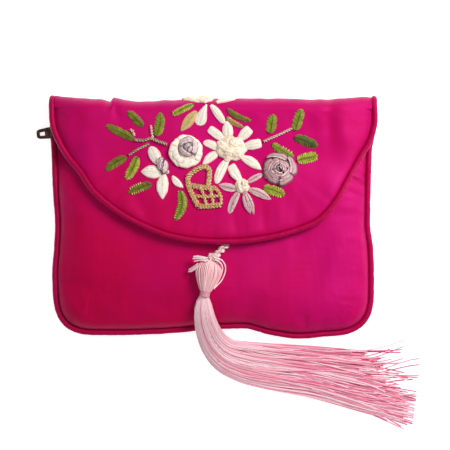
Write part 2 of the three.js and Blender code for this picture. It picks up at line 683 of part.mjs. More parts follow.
function flap_piping() {
  const over_fold = (side) => {
    const w = side < 0 ? left_start : right_start,
      p = flap_edge(w, piping_radius),
      inner = flap_edge(w, panel_inset),
      top = flap_under(inner.x, inner.y) + wall / 2,
      low = piping_radius,
      reach = fold_reach - wall / 2;
    return [
      V(p.x, piping_end_y + clearance + 0.1, seam_at_mouth - 0.6),
      V(p.x, mix(piping_end_y, p.y, 0.6), 1.9),
      ...steps(6, (t) => {
        const a = Math.PI * t;
        return V(p.x, p.y + reach * Math.sin(a), (top + low) / 2 - ((top - low) / 2) * Math.cos(a));
      }),
    ];
  };
  const along = steps(42, (t) => {
    const w = mix(left_start, right_start, t),
      p = flap_edge(w, piping_radius),
      inner = flap_edge(w, panel_inset);
    return V(p.x, p.y, flap_under(inner.x, inner.y) + wall / 2);
  }).slice(1, -1);
  return cord(
    [...over_fold(-1), ...along, ...over_fold(1).reverse()],
    () => [piping_radius, piping_radius],
    6,
  );
}

// ---------------------------------------------------------------- zip
const zip_height = (x) => seam_at_mouth + 1.3 + 3 * (1 - (x / (half_width - 6)) ** 2);
const slider_z = zip_height((slider_left + slider_right) / 2);
const plate = 0.8;
const plate_gap = coil_height / 2 + clearance;
const slider_top = slider_z + plate_gap + plate;
const bar_radius = 0.35;
const hinge = V(slider_left + 1.6, zip_y, slider_top + 1.2);

function zip_tape(front) {
  const t = tape_thickness / 2;
  return loft(
    steps(11, (k) => {
      const x = mix(-(half_width - 6.4), half_width - 7.4, k),
        z = zip_height(x),
        edge = (front_top(x, mouth_y) + front_under(x, mouth_y, depth_at(x, mouth_y, panel_inset + wall))) / 2,
        way = front
          ? [[mouth_y + clearance, edge], [mouth_y + clearance + tape_overlap, z], [zip_y - coil_width / 2 - clearance, z]]
          : [
              [zip_y + coil_width / 2 + clearance, z],
              [zip_y + coil_width / 2 + clearance + 0.32 * tape_width, z],
              [zip_y + coil_width / 2 + clearance + tape_width, wall + clearance + t + 0.2],
            ];
      return [
        ...way.map(([y, h]) => V(x, y, h + t)),
        ...way.map(([y, h]) => V(x, y, h - t)).reverse(),
      ];
    }),
  );
}
function zip_coil() {
  return cord(
    steps(11, (k) => {
      const x = mix(slider_right + clearance, half_width - 8, k);
      return V(x, zip_y, zip_height(x));
    }),
    () => [coil_width / 2, coil_height / 2],
    6,
  );
}
function zip_slider() {
  const outline = new THREE.Shape();
  outline.moveTo(slider_left, -1.6).lineTo(slider_left + 1.4, -2.9).lineTo(slider_right - 1, -2.6);
  outline.lineTo(slider_right, -1.9).lineTo(slider_right, 1.9).lineTo(slider_right - 1, 2.6);
  outline.lineTo(slider_left + 1.4, 2.9).lineTo(slider_left, 1.6);
  const flat = (z) =>
    new THREE.ExtrudeGeometry(outline, { depth: plate, bevelEnabled: false }).translate(0, zip_y, z);
  const arch = new THREE.Shape();
  const leg = 0.85,
    roof = 1.2 + bar_radius + clearance, // above the slider's upper plate
    far = slider_length - 1.4;
  arch.moveTo(0.1, 0).lineTo(0.1, roof + 0.2).lineTo(0.8, roof + 0.85).lineTo(far - 1, roof + 0.85);
  arch.lineTo(far, roof + 0.2).lineTo(far, 0).lineTo(far - leg, 0).lineTo(far - leg, roof - 0.3);
  arch.lineTo(far - leg - 0.4, roof).lineTo(leg + 0.4, roof).lineTo(leg + 0.1, roof - 0.3).lineTo(leg + 0.1, 0);
  const bridge = new THREE.ExtrudeGeometry(arch, { depth: 1.6, bevelEnabled: false })
    .rotateX(Math.PI / 2)
    .translate(slider_left, zip_y + 0.8, slider_top - 0.05);
  const post = block(
    V(slider_left + 0.1, zip_y - 0.9, slider_z - plate_gap - 0.1),
    V(slider_left + 2, zip_y + 0.9, slider_z + plate_gap + 0.1),
  );
  return joined(
    [flat(slider_z - plate_gap - plate), flat(slider_z + plate_gap), bridge, post].map(indexed),
  );
}
function indexed(g) {
  if (g.index) return g;
  g.setIndex([...Array(g.attributes.position.count).keys()]);
  return g;
}
function zip_pull() {
  const tag = new THREE.Shape();
  const half = pull_width / 2,
    end = pull_length,
    side = [[2.8, 0.8], [5, 0.96], [end - 6, 1], [end - 1.4, 0.83], [end - 0.3, 0.64], [end, 0.42]];
  tag.moveTo(side[0][0], -half * side[0][1]);
  for (const [along, w] of side.slice(1)) tag.lineTo(along, -half * w);
  for (const [along, w] of [...side].reverse()) tag.lineTo(along, half * w);
  const slot = new THREE.Path();
  slot.moveTo(end - 4.1, -0.9).lineTo(end - 4.1, 0.9).lineTo(end - 1.3, 0.75).lineTo(end - 1.3, -0.75);
  tag.holes.push(slot);
  const leaf = new THREE.ExtrudeGeometry(tag, { depth: 1.2, bevelEnabled: false }).translate(0, 0, -0.6),
    arm = (s) => block(V(-bar_radius, s < 0 ? -0.8 * half : 1.2, -0.35), V(3.2, s < 0 ? -1.2 : 0.8 * half, 0.35)),
    bar = new THREE.CylinderGeometry(bar_radius, bar_radius, 1.3 * half, 8);
  return joined([leaf, arm(-1), arm(1), bar].map(indexed))
    .rotateY(radians(pull_dip))
    .rotateZ(radians(180 + pull_yaw))
    .translate(hinge.x, hinge.y, hinge.z);
}

// ---------------------------------------------------------------- ribbon embroidery
// A leaf or petal: sections across the ribbon, each with two sides, a ridge and an underside.
function blade(row, shape, thick) {
  const from = place(row.right, row.down),
    to = place(row.to_right, row.to_down),
    way = to.clone().sub(from).normalize(),
    left = new THREE.Vector2(-way.y, way.x);
  return loft(
    shape.map(({ along, wide }) => {
      const half = (row.width * stitch * wide) / 2,
        c = from.clone().lerp(to, along).addScaledVector(left, row.bend * stitch * Math.sin(Math.PI * along)),
        base = stitch_gap + (row.lift || 0) * smooth(0, 0.8, along),
        at = (off, h) => raised(c.x + left.x * off, c.y + left.y * off, base + h),
        h = thick * (0.45 + 0.55 * wide);
      return [at(-half, 0.12), at(0, h), at(half, 0.12), at(0, 0)];
    }),
  );
}
const LEAF_SHAPE = [
  { along: 0, wide: 0.2 },
  { along: 0.16, wide: 0.72 },
  { along: 0.42, wide: 1 },
  { along: 0.7, wide: 0.82 },
  { along: 0.9, wide: 0.4 },
  { along: 1, wide: 0.08 },
];
const PETAL_SHAPE = [
  { along: 0, wide: 0.45 },
  { along: 0.45, wide: 1 },
  { along: 0.8, wide: 0.75 },
  { along: 1, wide: 0.1 },
];
// A low dome on the cover.
function dome(right, down, radius, height) {
  const c = place(right, down),
    r = radius * stitch,
    n = 8;
  return loft(
    [[0.96, 0], [1, 0.25], [0.8, 0.7], [0.35, 1]].map(([w, h]) =>
      Array.from({ length: n }, (_, k) => {
        const a = (2 * Math.PI * k) / n;
        return raised(c.x + r * w * Math.cos(a), c.y + r * w * Math.sin(a), stitch_gap + height * h);
      }),
    ),
  );
}
// A rose: a dome with folded ribbon turned round it.
function rose(row) {
  const c = place(row.right, row.down),
    r = row.radius * stitch;
  const turns = [0, 1, 2, 3].map((k) => {
    const start = (k * 2 * Math.PI) / 2.6,
      ring = 0.84 - 0.17 * k;
    return cord(
      steps(5, (t) => {
        const a = start + t * 2.1,
          q = ring * (1 - 0.08 * t);
        return raised(c.x + r * q * Math.cos(a), c.y + r * q * Math.sin(a), stitch_gap + rose_height * (0.42 + 0.13 * k));
      }),
      (t) => [0.35 + 0.9 * Math.sin(Math.PI * t), 0.3 + 0.55 * Math.sin(Math.PI * t)],
      4,
    );
  });
  return joined([dome(row.right, row.down, row.radius, rose_height * 0.8), ...turns]);
}
function flower(row) {
  return joined([
    dome(row.heart.right, row.heart.down, row.heart.radius, row.heart.height),
    // each petal starts a little under the heart
    ...row.petals.map((p) =>
      blade(
        { ...p, right: mix(p.right, row.heart.right, 0.4), down: mix(p.down, row.heart.down, 0.4) },
        PETAL_SHAPE,
        petal_thick,
      ),
    ),
  ]);
}
function strand(way, radius, sides, sections) {
  const curve = new THREE.CatmullRomCurve3(
    way.map(([right, down]) => {
      const p = place(right, down);
      return V(p.x, p.y, 0);
    }),
    false,
    "centripetal",
  );
  return cord(
    curve.getSpacedPoints(sections).map((p) => raised(p.x, p.y, stitch_gap + radius)),
    () => [radius, radius],
    sides,
  );
}

// ---------------------------------------------------------------- tassel
// How high the purse stands here: the front panel, its piping or the table.
function carries(x, y) {
  if (depth_at(x, y, panel_inset) > 0) return front_top(x, y);
  return depth_at(x, y, 0) > 0 ? seam(y) + piping_radius : 0;
}
const neck_y = flap_top_line - TASSEL[5].down * stitch;
const drawn = (r) => {
  const x = r.right * stitch,
    y =
      "past" in r
        ? -purse_height / 2 - r.past * stitch
        : "toward" in r
          ? mix(neck_y, -purse_height / 2, r.toward)
          : flap_top_line - r.down * stitch;
  return V(x, y, "drop" in r ? 0.1 + r.tall + r.drop * seam_height : carries(x, y) + clearance + r.tall + r.lift);
};
function tassel() {
  const head = cord(
    TASSEL.map(drawn),
    (t, i) => [TASSEL[i].wide, TASSEL[i].tall],
    10,
  );
  const line = new THREE.CatmullRomCurve3(SKIRT.map(drawn), false, "centripetal"),
    row = (t, column) => {
      const at = t * (SKIRT.length - 1),
        i = Math.min(SKIRT.length - 2, Math.floor(at));
      return mix(SKIRT[i][column], SKIRT[i + 1][column], at - i);
    };
  const locks = LOCKS.map((lock, n) =>
    cord(
      steps(11, (k) => {
        const t = k * lock.ends,
          p = line.getPoint(t),
          way = line.getTangent(t),
          off = row(t, "spread") * lock.side,
          flat = Math.hypot(way.x, way.y);
        return V(p.x + (way.y / flat) * off, p.y - (way.x / flat) * off, p.z + (n % 2 ? 0.15 : 0) * k);
      }),
      (k) => [
        mix(0.7, lock.wide, smooth(0, 0.35, k)) * mix(1, 0.3, smooth(0.7, 1, k)),
        row(k * lock.ends, "tall") * mix(1, 0.55, smooth(0.75, 1, k)),
      ],
      5,
    ),
  );
  return joined([head, ...locks]);
}
function tassel_cord() {
  const way = [
    { right: 17, down: 138, lift: 0.1, tall: tassel_cord_height },
    { right: 14, down: 146, lift: 0.2, tall: tassel_cord_height },
    { right: 8, down: 153, lift: 1.2, tall: tassel_cord_height },
    { right: 2, down: 159.5, lift: 2.6, tall: tassel_cord_height },
  ].map(drawn);
  return cord(
    new THREE.CatmullRomCurve3(way).getSpacedPoints(9),
    () => [tassel_cord_width, tassel_cord_height],
    6,
  );
}
function tassel_neck_wrap() {
  const ends = [drawn(TASSEL[5]), drawn(TASSEL[6])],
    at = ends[0].clone().lerp(ends[1], 0.5),
    way = ends[1].clone().sub(ends[0]).normalize();
  const ring = new THREE.TorusGeometry(2.15, 0.5, 6, 12).scale(1, 1, 1.7);
  return ring
    .applyQuaternion(new THREE.Quaternion().setFromUnitVectors(V(0, 0, 1), way))
    .translate(at.x, at.y, at.z);
}

// ---------------------------------------------------------------- all together
const purse = new THREE.Group();
function add(name, geometry) {
  const mesh = new THREE.Mesh(geometry);
  mesh.name = name;
  purse.add(mesh);
}
add("front_panel", front_panel());
add("back_flap_panel", back_flap_panel());
add("body_piping", body_piping());
add("flap_piping", flap_piping());
add("zip_tape_front", zip_tape(true));
add("zip_tape_back", zip_tape(false));
add("zip_coil", zip_coil());
add("zip_slider", zip_slider());
add("zip_pull", zip_pull());
for (const leaf of LEAVES) add(leaf.name, blade(leaf, LEAF_SHAPE, leaf_thick));
for (const stem of STEMS) add(stem.name, strand(stem.way, stem.radius, 5, 5));
for (const row of FLOWERS) add(row.name, flower(row));
add(LOOSE_PETAL.name, blade(LOOSE_PETAL, PETAL_SHAPE, petal_thick));
for (const row of ROSES) add(row.name, rose(row));
add("basket", joined(BASKET.map((way) => strand(way, basket_radius, 4, way.length > 3 ? way.length : 2))));
add("tassel_cord", tassel_cord());
add("tassel", tassel());
add("tassel_neck_wrap", tassel_neck_wrap());

export default purse;
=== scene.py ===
# %% [markdown]
# # An embroidered satin purse
# This purse is a small flat pouch of magenta silk satin. It lies on its back: the padded back runs over the top fold
# and becomes the flap, piping is sewn round both edges, ribbon flowers are worked on the flap, and a silk tassel
# hangs from the flap's tip and trails to the right. We dress a fixed frame of solids, so each piece that we make here
# takes the place of one solid and keeps to its room.

# %% The frame
import math

import bmesh
import bpy
import numpy as np
from mathutils import Matrix, Vector


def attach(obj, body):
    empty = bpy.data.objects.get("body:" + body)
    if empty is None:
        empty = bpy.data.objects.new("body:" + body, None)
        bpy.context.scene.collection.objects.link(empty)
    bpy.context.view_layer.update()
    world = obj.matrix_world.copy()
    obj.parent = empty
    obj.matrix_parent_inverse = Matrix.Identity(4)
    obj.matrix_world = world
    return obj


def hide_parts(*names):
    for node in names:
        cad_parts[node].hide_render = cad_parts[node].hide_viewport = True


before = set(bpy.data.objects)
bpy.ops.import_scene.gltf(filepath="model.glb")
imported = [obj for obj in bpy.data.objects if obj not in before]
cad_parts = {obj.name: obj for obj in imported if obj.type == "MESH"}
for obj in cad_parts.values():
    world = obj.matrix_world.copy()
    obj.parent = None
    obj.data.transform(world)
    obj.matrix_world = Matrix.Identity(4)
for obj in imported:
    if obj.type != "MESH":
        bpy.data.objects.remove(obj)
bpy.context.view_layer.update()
MM = 0.001


def put(name, data):
    """A new object with this data, placed in the scene."""
    made = bpy.data.objects.new(name, data)
    bpy.context.scene.collection.objects.link(made)
    return made


# %% [markdown]
# ## Camera
# The picture looks straight down on the purse. A long lens from 85 cm away keeps the sides upright, as a product
# picture does. The camera comes first, because everything else is seen through it.

# %% Camera
camera_height = 0.85
camera = put("camera", bpy.data.cameras.new("camera"))
camera.location = (0.0055, -0.0039, camera_height)
camera.data.sensor_width = 36
camera.data.lens = 146
camera.data.clip_start = 0.05
camera.data.clip_end = 10
bpy.context.scene.camera = camera
bpy.context.scene.view_settings.view_transform = "Standard"

# %% [markdown]
# ## Sizes and reading tables
# The purse is sewn from a paper pattern, so its shape is a few tables read smoothly between their rows. Places on the
# flap are counted in stitches, 330 to the width, right of the middle and down from the flap's top line. The reader
# below never passes the rows, so a table can't ring or bulge.

# %% Sizes
purse_width = 151.8
purse_height = 110.0
stitch = purse_width / 330
half_width = purse_width / 2
flap_top_line = purse_height / 2
wall = 2.2
piping_radius = 1.4
corner_reach = 22.0
corner_power = 3.0
tucked_in = 2.6  # the satin's edge goes in beside the piping
seam_height = 5.5
seam_at_mouth = 3.4
front_puff = 8.5
mouth_puff = 6.5
mouth_y = flap_top_line - 20.5
fold_puff = 6.5
fold_reach = 6.0
flap_rest = seam_height + piping_radius + 0.3
zip_y = mouth_y + 5.5
slider_left = 8.9 - half_width


# %% Reading tables
def mix(a, b, t):
    return a + (b - a) * t


def smooth(a, b, x):
    t = np.clip((x - a) / (b - a), 0, 1)
    return t * t * (3 - 2 * t)


def rise(k):
    return np.sqrt(np.maximum(0, 1 - (1 - np.clip(k, 0, 1)) ** 2))


def cubic(t, start, start_way, end, end_way, h=1):
    """The smooth curve between two values that leaves and arrives with the given slopes."""
    return (
        (2 * t**3 - 3 * t**2 + 1) * start
        + (t**3 - 2 * t**2 + t) * h * start_way
        + (3 * t**2 - 2 * t**3) * end
        + (t**3 - t**2) * h * end_way
    )


def read(rows, at, column=1):
    x, y = np.array(rows, float)[:, 0], np.array(rows, float)[:, column]
    at = np.clip(np.asarray(at, float), x[0], x[-1])
    slope = np.diff(y) / np.diff(x)
    a, b = slope[:-1], slope[1:]
    inner = np.where(a * b > 0, 2 * a * b / np.where(a + b == 0, 1, a + b), 0)
    tangent = np.concatenate([slope[:1], inner, slope[-1:]])
    i = np.clip(np.searchsorted(x, at, side="right") - 1, 0, len(x) - 2)
    h = x[i + 1] - x[i]
    return cubic((at - x[i]) / h, y[i], tangent[i], y[i + 1], tangent[i + 1], h)


def unit_of(v):
    """The same vectors, each 1 long."""
    return v / np.linalg.norm(v, axis=-1, keepdims=True)


# %% Curves through points
def curve_through(points, count, dense=24):
    """A smooth line through the points, cut into equal steps."""
    p = np.array(points, float)
    p = np.vstack([2 * p[0] - p[1], p, 2 * p[-1] - p[-2]])
    out = []
    for i in range(1, len(p) - 2):
        p0, p1, p2, p3 = p[i - 1 : i + 3]
        d0, d1, d2 = (max(1e-4, np.linalg.norm(v) ** 0.5) for v in (p1 - p0, p2 - p1, p3 - p2))
        t1 = ((p1 - p0) / d0 - (p2 - p0) / (d0 + d1) + (p2 - p1) / d1) * d1
        t2 = ((p2 - p1) / d1 - (p3 - p1) / (d1 + d2) + (p3 - p2) / d2) * d1
        t = np.linspace(0, 1, dense, endpoint=False)[:, None]
        out.append(cubic(t, p1, t1, p2, t2))
    line = np.vstack([*out, p[-2]])
    length = np.concatenate([[0], np.cumsum(np.linalg.norm(np.diff(line, axis=0), axis=1))])
    at = np.linspace(0, length[-1], count)
    return np.stack([np.interp(at, length, line[:, k]) for k in range(line.shape[1])], 1)


# %% [markdown]
# ## The outline of the body
# The two body panels share one outline: nearly straight sides that draw in a little halfway up, round bottom corners,
# and a bottom edge that is drawn up in the middle where the seam puckers. A place is named by how far it is from the
# side and from the bottom, so the same numbers serve every panel and its piping.

# %% Outline tables
SIDES = [  # height as a share, then the half width as a share on the left and on the right
    (0, 0.967, 0.975),
    (0.142, 0.976, 0.982),
    (0.268, 0.982, 0.982),
    (0.368, 0.97, 0.976),
    (0.469, 0.964, 0.958),
    (0.594, 0.976, 0.96),
    (0.77, 0.988, 0.97),
    (0.87, 0.998, 0.99),
    (1, 1, 0.99),
]
BOTTOM_WAVE = [  # across as a share, how far the edge is drawn up in stitches
    (-0.77, 0),
    (-0.62, 0),
    (-0.38, 1),
    (-0.19, 3),
    (-0.09, 5),
    (0.07, 6.5),
    (0.2, 7),
    (0.28, 4),
    (0.36, 0.4),
    (0.54, -3.5),
    (0.73, -1),
    (0.9, 0),
]
wave_reach = 60.0


# %% Places on the body
def side_share(x, y):
    up = (y + purse_height / 2) / purse_height
    return np.where(x < 0, read(SIDES, up, 1), read(SIDES, up, 2))


def wave(across):
    return read(BOTTOM_WAVE, across) * stitch


def seam(y):
    return mix(seam_height, seam_at_mouth, smooth(mouth_y - 14.5, mouth_y - 0.5, y))


def on_body(side, from_side, from_bottom, inset):
    room = corner_reach - inset
    m = np.maximum(0, (corner_reach - from_side) / room)
    n = np.maximum(0, (corner_reach - from_bottom) / room)
    ring = np.maximum(m, n)
    norm = (m**corner_power + n**corner_power) ** (1 / corner_power)
    f = np.where(norm > 0, ring / np.maximum(norm, 1e-9), 1)
    ex = np.where(m > 0, corner_reach - m * f * room, from_side)
    ey = np.where(n > 0, corner_reach - n * f * room, from_bottom)
    w = wave(side * (half_width - ex) / half_width)
    y = -purse_height / 2 + ey + w * np.maximum(0, 1 - ey / wave_reach)
    return side * (half_width - ex) * side_share(side, y), y, 1 - ring


def edges_of(x, y):
    """How far a place is from the side and from the bottom."""
    ex = half_width - np.abs(x) / side_share(x, y)
    w = wave(np.sign(x) * (half_width - ex) / half_width)
    up = y + purse_height / 2
    return ex, np.where(up > wave_reach, up, (up - w) / (1 - w / wave_reach))


def depth_at(x, y, inset):
    ex, ey = edges_of(x, y)
    room = corner_reach - inset
    m, n = np.maximum(0, (corner_reach - ex) / room), np.maximum(0, (corner_reach - ey) / room)
    return 1 - (m**corner_power + n**corner_power) ** (1 / corner_power)


# %% [markdown]
# ## How high the satin stands
# A padded panel is a low dome: upright at the seam, nearly flat in the middle. Folds and dents are long soft ellipses
# added on top. The flap lies on the front panel, with a slight lift at its tip and a lump over the zip's slider.

# %% Folds and dents
# right and down in stitches, turn in degrees, length and width in stitches, height in millimetres
FLAP_FOLDS = [
    (22, 128, 80, 18, 4, -0.3),
    (36, 127, 84, 17, 4, 0.28),
    (50, 124, 88, 18, 4, -0.32),
    (66, 121, 93, 17, 4, 0.25),
    (82, 117, 98, 16, 4, -0.25),
    (-70, 112, 60, 20, 6, -0.35),
    (117, 28, 92, 34, 7, -0.8),
    (132, 30, 90, 34, 8, 0.5),
    (-120, 60, 60, 30, 12, 0.4),
    (-97, 12, 80, 13, 4, -0.5),
]
FRONT_FOLDS = [
    (148, 76, 28, 13, 2.6, -0.9),
    (150, 86, 20, 15, 2.8, -1.3),
    (149, 98, 12, 12, 3, -0.7),
    (92, 228, 75, 10, 6, -1.3),
    (-143, 226, 45, 8, 6, -1.4),
    (-150, 180, 90, 18, 6, -0.7),
    (-60, 205, 10, 50, 14, -0.5),
    (60, 190, 170, 60, 18, 0.5),
]


def folds(rows, x, y):
    total = 0
    for right, down, turn, long, wide, height in rows:
        dx, dy = x / stitch - right, (flap_top_line - y) / stitch - down
        c, s = math.cos(math.radians(turn)), math.sin(math.radians(turn))
        total = total + height * np.exp(-(((dx * c + dy * s) / long) ** 2) - ((dy * c - dx * s) / wide) ** 2)
    return total


def ripple(x, y, size, seed, lean=0.0, stretch=1.0, waves=26):
    """A soft random swell between about -1 and 1. Size is its length in millimetres, stretched along lean degrees."""
    random = np.random.default_rng(seed)
    c, s = math.cos(math.radians(lean)), math.sin(math.radians(lean))
    along, off = (x * c + y * s) / stretch, y * c - x * s
    total = 0
    for turn, start, scale in zip(
        random.uniform(0, 2 * math.pi, waves), random.uniform(0, 2 * math.pi, waves), random.uniform(0.7, 1.5, waves)
    ):
        k = 2 * math.pi / (size * scale)
        total = total + np.cos(k * (along * math.cos(turn) + off * math.sin(turn)) + start)
    return total / math.sqrt(waves)


# %% Heights of the front panel
def front_hump(x, y, depth):
    flat = 1 - (x / half_width) ** 2
    return mix(
        front_puff * rise(depth) * (0.86 + 0.14 * flat),
        mouth_puff * flat * rise(depth),
        smooth(mouth_y - 26.5, mouth_y + 0.5, y),
    )


def front_top(x, y, depth=None):
    depth = depth_at(x, y, tucked_in) if depth is None else depth
    cloth = folds(FRONT_FOLDS, x, y) * np.minimum(1, 2.5 * np.maximum(0, depth))
    return seam(y) + 0.15 + np.maximum(0, front_hump(x, y, depth) + cloth)


# %% Heights of the flap
FOLD_LINE = [  # across as a share, stitches above the flap's top line; the step at -0.61 is a tuck
    (-0.98, 2.5),
    (-0.915, 1),
    (-0.867, 0),
    (-0.77, -1),
    (-0.673, -2),
    (-0.624, -4),
    (-0.606, 0),
    (-0.576, -1),
    (-0.527, -3),
    (-0.43, -4),
    (-0.309, -3),
    (-0.05, -1.5),
    (0.2, -1),
    (0.442, -1),
    (0.636, -2),
    (0.782, -1),
    (0.927, 1),
    (0.98, 0),
]
FLAP_EDGE = [  # right and down, from the left corner round the tip to the right corner
    (-165, 0),
    (-164.6, 13.5),
    (-163.4, 27.5),
    (-160, 39),
    (-149, 59.5),
    (-134.5, 77.5),
    (-121, 96.5),
    (-96.5, 117),
    (-71, 131),
    (-45.5, 141),
    (-20, 146),
    (6, 147.5),
    (27, 147),
    (48, 144.5),
    (72, 139.5),
    (102, 128.5),
    (114, 119),
    (126.5, 103),
    (138.5, 81.5),
    (150.5, 60.5),
    (160, 44.5),
    (165, 25),
    (164, 0),
]
tip_y = flap_top_line - 147.5 * stitch


def fold_y(x):
    return flap_top_line + read(FOLD_LINE, x / half_width) * stitch - fold_reach


def flap_under(x, y):
    ex = half_width - np.abs(x) / side_share(x, y)
    depth = np.clip((ex - tucked_in) / (corner_reach - tucked_in), 0, 1)
    hump = mix(
        front_hump(x, y, depth),
        fold_puff * np.sin(math.pi / 2 * depth),
        smooth(mouth_y - 16.5, mouth_y + 3.5, y),
    )
    tip = 1.6 * smooth(tip_y + 38, tip_y + 1, y) * np.maximum(0, 1 - (x / (0.87 * half_width)) ** 2)
    lump = 1.3 * np.exp(-(((x - slider_left + 5) / 11) ** 2) - ((y - zip_y) / 9) ** 2)
    return flap_rest + hump + tip + lump + folds(FLAP_FOLDS, x, y)


def flap_top(x, y):
    return flap_under(x, y) + wall


# %% Places on the cover
def on_cover(x, u):
    """u runs down the flap from the fold, and over the fold when it is below 0."""
    y0 = fold_y(x)
    b = flap_top(x, y0) / 2
    a = -np.minimum(u, 0) / ((fold_reach + b) / 2)
    down = np.maximum(u, 0)
    return np.stack(
        [
            x + 0 * u,
            y0 - down + fold_reach * np.sin(a),
            np.where(u >= 0, flap_top(x, y0 - down), b + b * np.cos(a)),
        ],
        -1,
    )


def swell(x, u):
    """How the stuffing lifts the cloth here, over and above the table of folds."""
    down = np.maximum(u, 0)
    y = fold_y(x) - down
    soft = 0.42 * ripple(x, y, 34, 31, 80, 1.5) + 0.14 * ripple(x, y, 12, 32, 95, 2.4)
    drawn = 0.14 * ripple(x, y, 7, 33, 90, 3.5) * np.exp(-down / 9)
    turn = np.sin(np.clip(-u / 9, 0, 1) * math.pi / 2)
    return soft * smooth(0, 10, down) + drawn * smooth(0, 3, down) + 0.1 * ripple(x, 0 * y, 9, 21) * turn


def raised(x, v, h):
    """Points on the cloth and which way is out.

    v counts down from a straight line, so a stitch stays straight past a tuck.
    """
    d = 0.6  # how far apart the places are that the slope is taken from
    u = v + fold_y(x) - (flap_top_line - fold_reach)
    across = on_cover(x + d, u) - on_cover(x - d, u)
    along = on_cover(x, u + d) - on_cover(x, u - d)
    out = unit_of(np.cross(along, across))
    return on_cover(x, u) + out * (np.asarray(h) + swell(x, u))[..., None], out


def place(right, down):
    """A table's place as x and v on the cover. Places above the fold's line go over it."""
    x = np.asarray(right, float) * stitch
    past = flap_top_line - np.asarray(down, float) * stitch - fold_y(x)
    b = flap_top(x, fold_y(x)) / 2
    share = past / fold_reach
    turn = np.where(share < 0.9, np.arcsin(np.clip(share, 0, 0.9)), 1.12 + (share - 0.9))
    u = np.where(past <= 0, -past, -turn * (fold_reach + b) / 2)
    return x, u - fold_y(x) + flap_top_line - fold_reach


print("the flap is", round(float(fold_y(np.array(0.0)) - tip_y), 1), "mm long")

# %% [markdown]
# ## Making meshes
# Satin panels are grids of points, so one helper turns rows of points in millimetres into a smooth mesh, with any value
# per point that a finish wants to read. Each finished mesh rides on the purse and takes the place of its solid.


# %% Mesh helpers
def note(mesh, key, values, vector=False):
    """Keeps a number or a vector for each point under a name."""
    spot = mesh.attributes.new(key, "FLOAT_VECTOR" if vector else "FLOAT", "POINT")
    spot.data.foreach_set("vector" if vector else "value", np.asarray(values, np.float32).ravel())


def new_mesh(name, points):
    """A mesh that has only these points, given in millimetres."""
    mesh = bpy.data.meshes.new(name)
    mesh.vertices.add(len(points))
    mesh.vertices.foreach_set("co", (np.asarray(points) * MM).astype(np.float32).ravel())
    return mesh


def mesh_of(name, points, quads, triangles=None, values=None, finish=None):
    """A mesh from points in millimetres; values are numbers per point that a finish can read."""
    shape = np.shape(points)[:-1]
    points = np.asarray(points, float).reshape(-1, 3)
    parts = [np.asarray(quads, np.int32).reshape(-1, 4)]
    if triangles is not None and len(triangles):
        parts.append(np.asarray(triangles, np.int32).reshape(-1, 3))
    loops = np.concatenate([p.ravel() for p in parts])
    sizes = np.concatenate([np.full(len(p), p.shape[1]) for p in parts])
    mesh = new_mesh(name, points)
    mesh.loops.add(len(loops))
    mesh.loops.foreach_set("vertex_index", loops)
    mesh.polygons.add(len(sizes))
    mesh.polygons.foreach_set("loop_start", np.concatenate([[0], np.cumsum(sizes)[:-1]]).astype(np.int32))
    mesh.update(calc_edges=True)
    mesh.polygons.foreach_set("use_smooth", np.ones(len(sizes), bool))
    for key, value in (values or {}).items():
        note(mesh, key, np.broadcast_to(value, shape))
    if finish:
        mesh.materials.append(finish)
    return put(name, mesh)


def grid_faces(rows, columns, closed=False, start=0):
    """Quads of a grid of points; closed joins the last column to the first."""
    r, c = np.meshgrid(np.arange(rows - 1), np.arange(columns if closed else columns - 1), indexing="ij")
    d = (c + 1) % columns
    faces = np.stack([r * columns + c, r * columns + d, (r + 1) * columns + d, (r + 1) * columns + c], -1)
    return faces.reshape(-1, 4) + start


def rim_of(rows, columns):
    """Which points of a grid are on its border."""
    ends = [np.arange(n) % (n - 1) == 0 for n in (rows, columns)]
    return ends[0][:, None] | ends[1][None]


def hem(outer_ids, inner_ids, pick, flip):
    """Triangles that close the side of a cloth between its outside and its inside, which has fewer rows."""
    rows_ = []
    for j in range(len(pick) - 1):
        rows_ += [(outer_ids[r + 1], outer_ids[r], inner_ids[j]) for r in range(pick[j], pick[j + 1])]
        rows_.append((outer_ids[pick[j + 1]], inner_ids[j], inner_ids[j + 1]))
    rows_ = np.array(rows_)
    return rows_[:, ::-1] if flip else rows_


def lined(name, outer, inner, pick, turned, **values):
    """A satin with its inside, closed along all four edges; values are for the outside."""
    rows, columns = outer.shape[:2]
    lip = np.arange(columns - 1)
    a, b = (rows - 1) * columns + lip, (rows + len(inner) - 1) * columns + lip
    c, d = lip, rows * columns + lip
    quads = [
        grid_faces(rows, columns),
        grid_faces(len(inner), columns, start=rows * columns)[:, ::-1],
        np.stack([a, a + 1, b + 1, b], -1),
        np.stack([c + 1, c, d, d + 1], -1),
    ]
    ids, inner_ids = np.arange(rows) * columns, (rows + np.arange(len(inner))) * columns
    sides = [hem(ids + k, inner_ids + k, pick, k == 0) for k in (0, columns - 1)]
    order = slice(None, None, -1 if turned else 1)
    return mesh_of(
        name,
        np.concatenate([outer.reshape(-1, 3), inner.reshape(-1, 3)]),
        np.concatenate(quads)[:, order],
        np.concatenate(sides)[:, order],
        values={k: np.concatenate([v.ravel(), np.zeros(inner.size // 3)]) for k, v in values.items()},
        finish=magenta_satin,
    )


def wear(piece, *nodes, slot=None, body="purse"):
    """The piece rides on the purse and stands for its solids."""
    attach(piece, body)
    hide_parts(*nodes)
    return piece


def joined(name, pieces):
    """Several meshes made one."""
    with bpy.context.temp_override(active_object=pieces[0], selected_editable_objects=pieces):
        bpy.ops.object.join()
    pieces[0].name = name
    return pieces[0]


# %% [markdown]
# ## Finishes
# Every finish here is cloth or thread, apart from the brass. Small helpers lay out shader nodes, and effects that
# several finishes use are node groups: a weave, the uneven dye of silk, the fine grain of ribbon and the twist of a
# thread. A group only puts out masks and heights. Sheen, gloss and the like stay as numbers on each shader.


